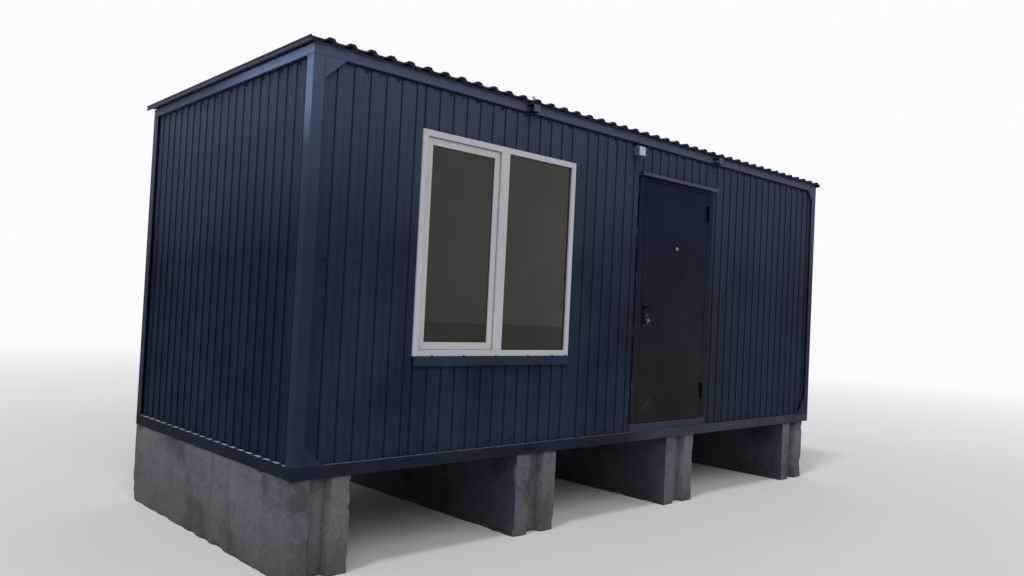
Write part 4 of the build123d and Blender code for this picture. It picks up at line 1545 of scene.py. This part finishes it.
def door_levers():
    """Bent lever handles with a round neck and a flattened grip, on both faces of the door."""
    shape = bmesh.new()
    for outermost, side in ((lever_lo.y, -1), (lever_hi.y, 1)):
        out = side * depth_way
        foot = Vector((spindle, outermost - side * lever_reach, spindle_height))
        middles = [foot + x * side_way + reach * out for x, reach, tall, deep in lever_stations]
        rings = []
        for index, middle in enumerate(middles):
            tall, deep = lever_stations[index][2:]
            before = middles[max(index - 1, 0)]
            after = middles[min(index + 1, len(middles) - 1)]
            along = (after - before).normalized()
            rings.append(round_ring(middle, along.cross(rise), rise, deep, tall, 16))
        lofted(shape, rings)
    piece = faced_outwards(as_piece("lever_handles", shape, black_metal, "levers"))
    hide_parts("door_levers")


def lever_collars():
    """The round collars that the levers turn in, and the small heads that hold both plates."""
    outside = plate_lo.y + cylinder_proud
    inside = plate_hi.y - cylinder_proud
    heights = (plate_lo.z + plate_screw_margin, plate_hi.z - plate_screw_margin)
    shape = bmesh.new()
    for face, side in ((outside, -1), (inside, 1)):
        middle = Vector((spindle, face, spindle_height))
        turned_form(shape, middle, side * depth_way, side_way, collar_profile, 24, closed=True)
    faced_outwards(as_piece("lever_collars", shape, black_metal, "door"))
    for name, face, side, seed in (
        ("plate_screws_outside", outside, -1, 9),
        ("plate_screws_inside", inside, 1, 10),
    ):
        points = [(spindle, face, height) for height in heights]
        screws(name, points, (0, side, 0), key_steel, "door", seed, plate_screw_across)


def bent_ring(shape, middle, across, upward, radius, thickness, steps, sides):
    """A closed ring of round wire or rod."""
    path = round_ring(middle, across, upward, radius, radius, steps)
    bent_rod(shape, path, across.cross(upward).normalized(), thickness, sides, closed=True)


def keys_and_fob():
    """A key left in the lock, with a wire ring that holds a second key and a pale fob."""
    hole = Vector((spindle, plate_lo.y, plate_lo.z + cylinder_height))
    bow = hole - key_bow_reach * depth_way
    shape = bmesh.new()
    bent_ring(shape, bow, depth_way, rise, key_bow_radius, key_thickness, 20, 8)
    add_box(shape, hole + key_shank[0], hole + key_shank[1])
    ring_middle = bow + ring_from_bow
    ring_way = Vector((0.94, -0.34, 0)).normalized()
    bent_ring(shape, ring_middle, ring_way, rise, key_ring_radius, key_ring_thickness, 24, 6)
    hanging = Vector((0.34, 0.10, -0.93)).normalized()
    beside = Vector((0.93, 0.0, 0.34)).normalized()
    second = ring_middle + second_key_from_ring
    bent_ring(shape, second, hanging, beside, key_bow_radius, second_key_thickness, 20, 8)
    flat = hanging.cross(beside).normalized()
    sections = [(reach, wide, key_blade_half) for reach, wide in key_blade]
    oval_form(shape, second, hanging, beside, flat, sections, 8)
    faced_outwards(as_piece("door_keys", shape, key_steel, "door"))
    drop = Vector((0.72, 0.06, -0.69)).normalized()
    wide_way = Vector((0.69, 0.0, 0.72)).normalized()
    thick_way = drop.cross(wide_way).normalized()
    sections = [(reach, wide, 0.30 * wide) for reach, wide in fob_outline]
    fob = bmesh.new()
    oval_form(fob, ring_middle + fob_from_ring, drop, wide_way, thick_way, sections, 16)
    faced_outwards(as_piece("key_fob", fob, fob_plastic, "door"))


def door_seal():
    """The black seal that the closed leaf presses on, let into the stop all round."""
    face = leaf_hi.y + seal_gap
    stop = leaf_hi.y + leaf_gap
    section = [
        (seal_inset, stop),
        (seal_inset, face + seal_dome),
        (seal_middle, face),
        (seal_reach, face + seal_dome),
        (seal_reach, stop),
    ]
    left, right = leaf_lo.x - leaf_gap, leaf_hi.x + leaf_gap
    shape = bmesh.new()
    mitred_ring(shape, left, right, leaf_lo.z - leaf_gap, leaf_hi.z + leaf_gap, section)
    return faced_outwards(as_piece("door_seal", shape, black_gasket, "cabin"))


def viewer_lens():
    """The dark domed glass in both ends of the door viewer."""
    lo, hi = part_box("door_peephole")
    shape = bmesh.new()
    for face, side in ((lo.y, -1), (hi.y, 1)):
        middle = Vector(((lo.x + hi.x) / 2, face, (lo.z + hi.z) / 2))
        turned_form(shape, middle, side * depth_way, side_way, lens_profile, 14)
    return faced_outwards(as_piece("viewer_lens", shape, black_metal, "door"))


black_metal = painted_steel(
    "black_metal", fitting_black, fitting_edge, 0.34, wear=0.30, dirt=0.0, peel=0.3, shine=0.06
)
key_steel = bare_metal("key_steel", key_tone, 0.34)
fob_plastic = rubber("fob_plastic", fob_tone)
finish(door_coating("door_paint"), "door_leaf")
finish(recoated(door_coating("door_frame_paint"), chipped), "door_frame")
finish(painted_steel("cap_paint", cap_coat, cap_edge, 0.42, wear=0.40, dirt=0.3), "door_drip_cap")
finish(black_metal, "hinges_on_frame", "hinges_on_leaf", "door_lock_plates")
finish(bright_steel, "door_peephole")
door_levers()
lever_collars()
keys_and_fob()
door_seal()
viewer_lens()


# Lifting loop and floodlight
# A loop of rusty rod on the first lifting lug, and a small floodlight with a pale front glass
# in a finned grey housing, on a bracket over the door.

rust_dark = (0.020, 0.013, 0.014, 1)
rust_pale = (0.054, 0.028, 0.025, 1)
lens_dark = (0.30, 0.33, 0.40, 1)
lens_pale = (0.40, 0.43, 0.50, 1)
lamp_tone = (0.62, 0.60, 0.50, 1)
housing_grey = (0.075, 0.090, 0.130, 1)
housing_edge = (0.24, 0.25, 0.26, 1)
rod_radius = 0.004
rod_thinning = 0.92
rod_bend = 0.010
rod_bend_steps = 6
loop_weld_profile = ((0.0, 0.0075), (0.0015, 0.0070), (0.004, 0.0050), (0.006, 0.0040))
light_rim = 0.004
light_rim_lap = 0.001
light_rim_set_back = 0.0004
light_rim_proud = 0.0006
light_rim_rounding = 0.0012
bracket_plate = 0.005
light_screw_across = 0.0055
bracket_screw_reach = (0.015, 0.013)
housing_screw_depth = 0.013
housing_screw_margin = 0.012
lamp_cell = 0.0125


def rusty_rod():
    """Hot-rolled rod, rusted all over in flakes of darker and paler brown."""
    material, tree, shader, point = new_material("rusty_rod", Specular_IOR_Level=0.3)
    flakes = ramp(tree, speckle(tree, point, 160.0, 6.0), 0.35, 0.65)
    dull = ramp(tree, speckle(tree, point, 90.0, 4.0), 0.3, 0.7, 0.7, 0.95)
    wire(tree, shader.inputs, Base_Color=mixed(tree, flakes, rust_dark, rust_pale), Roughness=dull)
    relief(tree, shader, speckle(tree, point, 420.0, 6.0, 0.7), 0.0009, 0.9)
    return material


def pale_light_glass():
    """The frosted front of the floodlight, lit only by the day."""
    material, tree, shader, point = new_material("pale_light_glass", IOR=1.5)
    tone = mixed(tree, speckle(tree, point, 30.0, 3.0), lens_dark, lens_pale)
    parts = parts_of(tree, point)
    turns = [maths(tree, "MULTIPLY", parts[axis], 2 * math.pi / lamp_cell) for axis in "XZ"]
    waves = [maths(tree, "SINE", turn) for turn in turns]
    lamps = ramp(tree, maths(tree, "MULTIPLY", *waves), 0.25, 0.6)
    frosting = ramp(tree, speckle(tree, point, 60.0, 2.0), 0.3, 0.7, 0.16, 0.26)
    wire(tree, shader.inputs, Base_Color=laid_over(tree, tone, lamps, 0.6, lamp_tone), Roughness=frosting)
    return material


def lifting_loop():
    """The loop of bent rod, upright on its left and sloping down to its right, with its welds."""
    lo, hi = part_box("lifting_loop")
    left = lo.x + rod_radius
    right = hi.x - rod_radius
    y = (lo.y + hi.y) / 2
    heights = (lo.z, hi.z - 0.3 * rod_radius, lo.z + 2 * rod_radius, lo.z)
    turns = [Vector((x, y, z)) for x, z in zip((left, left, right, right), heights)]
    path = [turns[0]]
    for before, at, after in zip(turns, turns[1:], turns[2:]):
        cut = min(rod_bend, 0.45 * (before - at).length, 0.45 * (after - at).length)
        start = at + cut * (before - at).normalized()
        stop = at + cut * (after - at).normalized()
        for step in range(rod_bend_steps + 1):
            share = step / rod_bend_steps
            path.append((1 - share) ** 2 * start + 2 * share * (1 - share) * at + share**2 * stop)
    path.append(turns[-1])
    shape = bmesh.new()
    bent_rod(shape, path, depth_way, rod_thinning * rod_radius, 12)
    for foot in (path[0], path[-1]):
        turned_form(shape, foot, rise, side_way, loop_weld_profile, 12)
    piece = faced_outwards(as_piece("bent_rod_loop", shape, loop_rust, "cabin"))
    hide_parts("lifting_loop")


def light_trim():
    """The rim that clamps the floodlight's glass, and the screws of its bracket and its sides."""
    lens_lo, lens_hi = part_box("floodlight_glass")
    inset = light_rim + light_rim_lap
    section = [
        (0, lens_hi.y),
        (0, lens_lo.y + light_rim_set_back),
        (light_rim_rounding, lens_lo.y - light_rim_proud),
        (inset, lens_lo.y - light_rim_proud),
        (inset, lens_hi.y),
    ]
    x0, x1 = lens_lo.x - light_rim, lens_hi.x + light_rim
    z0, z1 = lens_lo.z - light_rim, lens_hi.z + light_rim
    shape = bmesh.new()
    mitred_ring(shape, x0, x1, z0, z1, section)
    faced_outwards(as_piece("floodlight_rim", shape, housing_paint, "cabin"))
    middle = (x0 + x1) / 2
    level = (z0 + z1) / 2
    plate = clad_lo.y - bracket_plate
    wide, tall = bracket_screw_reach
    corners = [(side, lift) for side in (-wide, wide) for lift in (-tall, tall)]
    points = [(middle + side, plate, level + lift) for side, lift in corners]
    depth = lens_hi.y + housing_screw_depth
    side_points = [(x0, depth, z) for z in (z0 + housing_screw_margin, z1 - housing_screw_margin)]
    for name, places, way, seed in (
        ("bracket_screws", points, (0, -1, 0), 11),
        ("housing_screws", side_points, (-1, 0, 0), 12),
    ):
        screws(name, places, way, bright_steel, "cabin", seed, light_screw_across)


loop_rust = rusty_rod()
lifting_loop()
housing_paint = painted_steel("housing_paint", housing_grey, housing_edge, roughness=0.4, wear=0.45)
finish(housing_paint, "floodlight_housing")
finish(pale_light_glass(), "floodlight_glass")
light_trim()


# Studio
# A plain pale floor, soft light from the sky, from high on the left and from the front left, and
# the camera at eye height, 1.6 m above the ground, off the cabin's left front corner.

picture_width = 1024
focal_pixels = 821.60
camera_place = (-2.3027, -4.1716, 1.0231)
camera_azimuth = -43.2644
camera_elevation = -1.4978
camera_roll = 2.7708
camera_reach = 200
sensor_width = 36.0
sky_strength = 0.60
floor_reach = 60.0
floor_fade = (6.0, 20.0)
floor_dark = (0.60, 0.60, 0.60, 1)
floor_pale = (0.63, 0.63, 0.63, 1)
backdrop_tone = (0.96, 0.975, 1.0, 1)


def floor():
    """A wide pale floor that keeps the object's shadow and fades into the backdrop far off."""
    mesh = bpy.data.meshes.new("studio_floor")
    corners = [(x * floor_reach, y * floor_reach, 0) for x, y in ((-1, -1), (1, -1), (1, 1), (-1, 1))]
    mesh.from_pydata(corners, [], [(0, 1, 2, 3)])
    ground = bpy.data.objects.new("studio_floor", mesh)
    scene.collection.objects.link(ground)
    material, tree, shader, point = new_material("studio_floor", Specular_IOR_Level=0.1, Roughness=0.9)
    tone = mixed(tree, speckle(tree, point, 0.8, 4.0), floor_dark, floor_pale)
    tree.links.new(tone, shader.inputs["Base Color"])
    away = place(tree, "ShaderNodeVectorMath", {0: point}, operation="LENGTH").outputs["Value"]
    seen = place(tree, "ShaderNodeLightPath").outputs["Is Camera Ray"]
    share = maths(tree, "MULTIPLY", ramp(tree, away, *floor_fade), seen)
    glow = place(tree, "ShaderNodeEmission", {"Color": backdrop_tone, "Strength": 1.0})
    both = place(tree, "ShaderNodeMixShader", {0: share, 1: shader.outputs[0], 2: glow.outputs[0]})
    tree.links.new(both.outputs[0], tree.nodes["Material Output"].inputs["Surface"])
    mesh.materials.append(material)


def soft_sun(name, direction, strength, softness, tint):
    """Distant soft light along one direction."""
    light = bpy.data.lights.new(name, "SUN")
    light.energy = strength
    light.angle = math.radians(softness)
    light.color = tint
    holder = bpy.data.objects.new(name, light)
    holder.rotation_euler = Vector(direction).to_track_quat("-Z", "Y").to_euler()
    scene.collection.objects.link(holder)


def sky():
    """An even pale surround: light on the object, white behind it and in its reflections."""
    world = bpy.data.worlds.new("studio")
    scene.world = world
    world.use_nodes = True
    tree = world.node_tree
    tree.nodes.clear()
    end = place(tree, "ShaderNodeOutputWorld")
    rays = place(tree, "ShaderNodeLightPath").outputs
    seen = maths(tree, "MAXIMUM", rays["Is Camera Ray"], rays["Is Transmission Ray"])
    seen = maths(tree, "MAXIMUM", seen, rays["Is Glossy Ray"])
    strength = ramp(tree, seen, 0.0, 1.0, sky_strength, 1.0)
    shine = place(tree, "ShaderNodeBackground", {"Color": backdrop_tone, "Strength": strength})
    tree.links.new(shine.outputs[0], end.inputs[0])


def camera():
    """The camera of the reference view, with its focal length and its slight roll."""
    turn = math.radians(camera_azimuth)
    lift = math.radians(camera_elevation)
    tilt = math.radians(camera_roll)
    back = Vector((math.sin(turn) * math.cos(lift), -math.cos(turn) * math.cos(lift), math.sin(lift)))
    level = (-back).cross(rise).normalized()
    upright = level.cross(-back)
    across = math.cos(tilt) * level + math.sin(tilt) * upright
    up = -math.sin(tilt) * level + math.cos(tilt) * upright
    data = bpy.data.cameras.new("view")
    data.sensor_width = sensor_width
    data.lens = focal_pixels * sensor_width / picture_width
    data.clip_end = camera_reach
    holder = bpy.data.objects.new("view", data)
    scene.collection.objects.link(holder)
    turned = Matrix((across, up, back)).transposed().to_4x4()
    holder.matrix_world = Matrix.Translation(corner + Vector(camera_place)) @ turned
    scene.camera = holder


floor()
sky()
soft_sun("high_left", (0.50, 0.14, -0.85), strength=1.15, softness=9.0, tint=(0.82, 0.91, 1.0))
soft_sun("front_left", (0.30, 0.68, -0.67), strength=1.1, softness=40.0, tint=(0.98, 0.985, 1.0))
camera()
scene.view_settings.view_transform = "Standard"
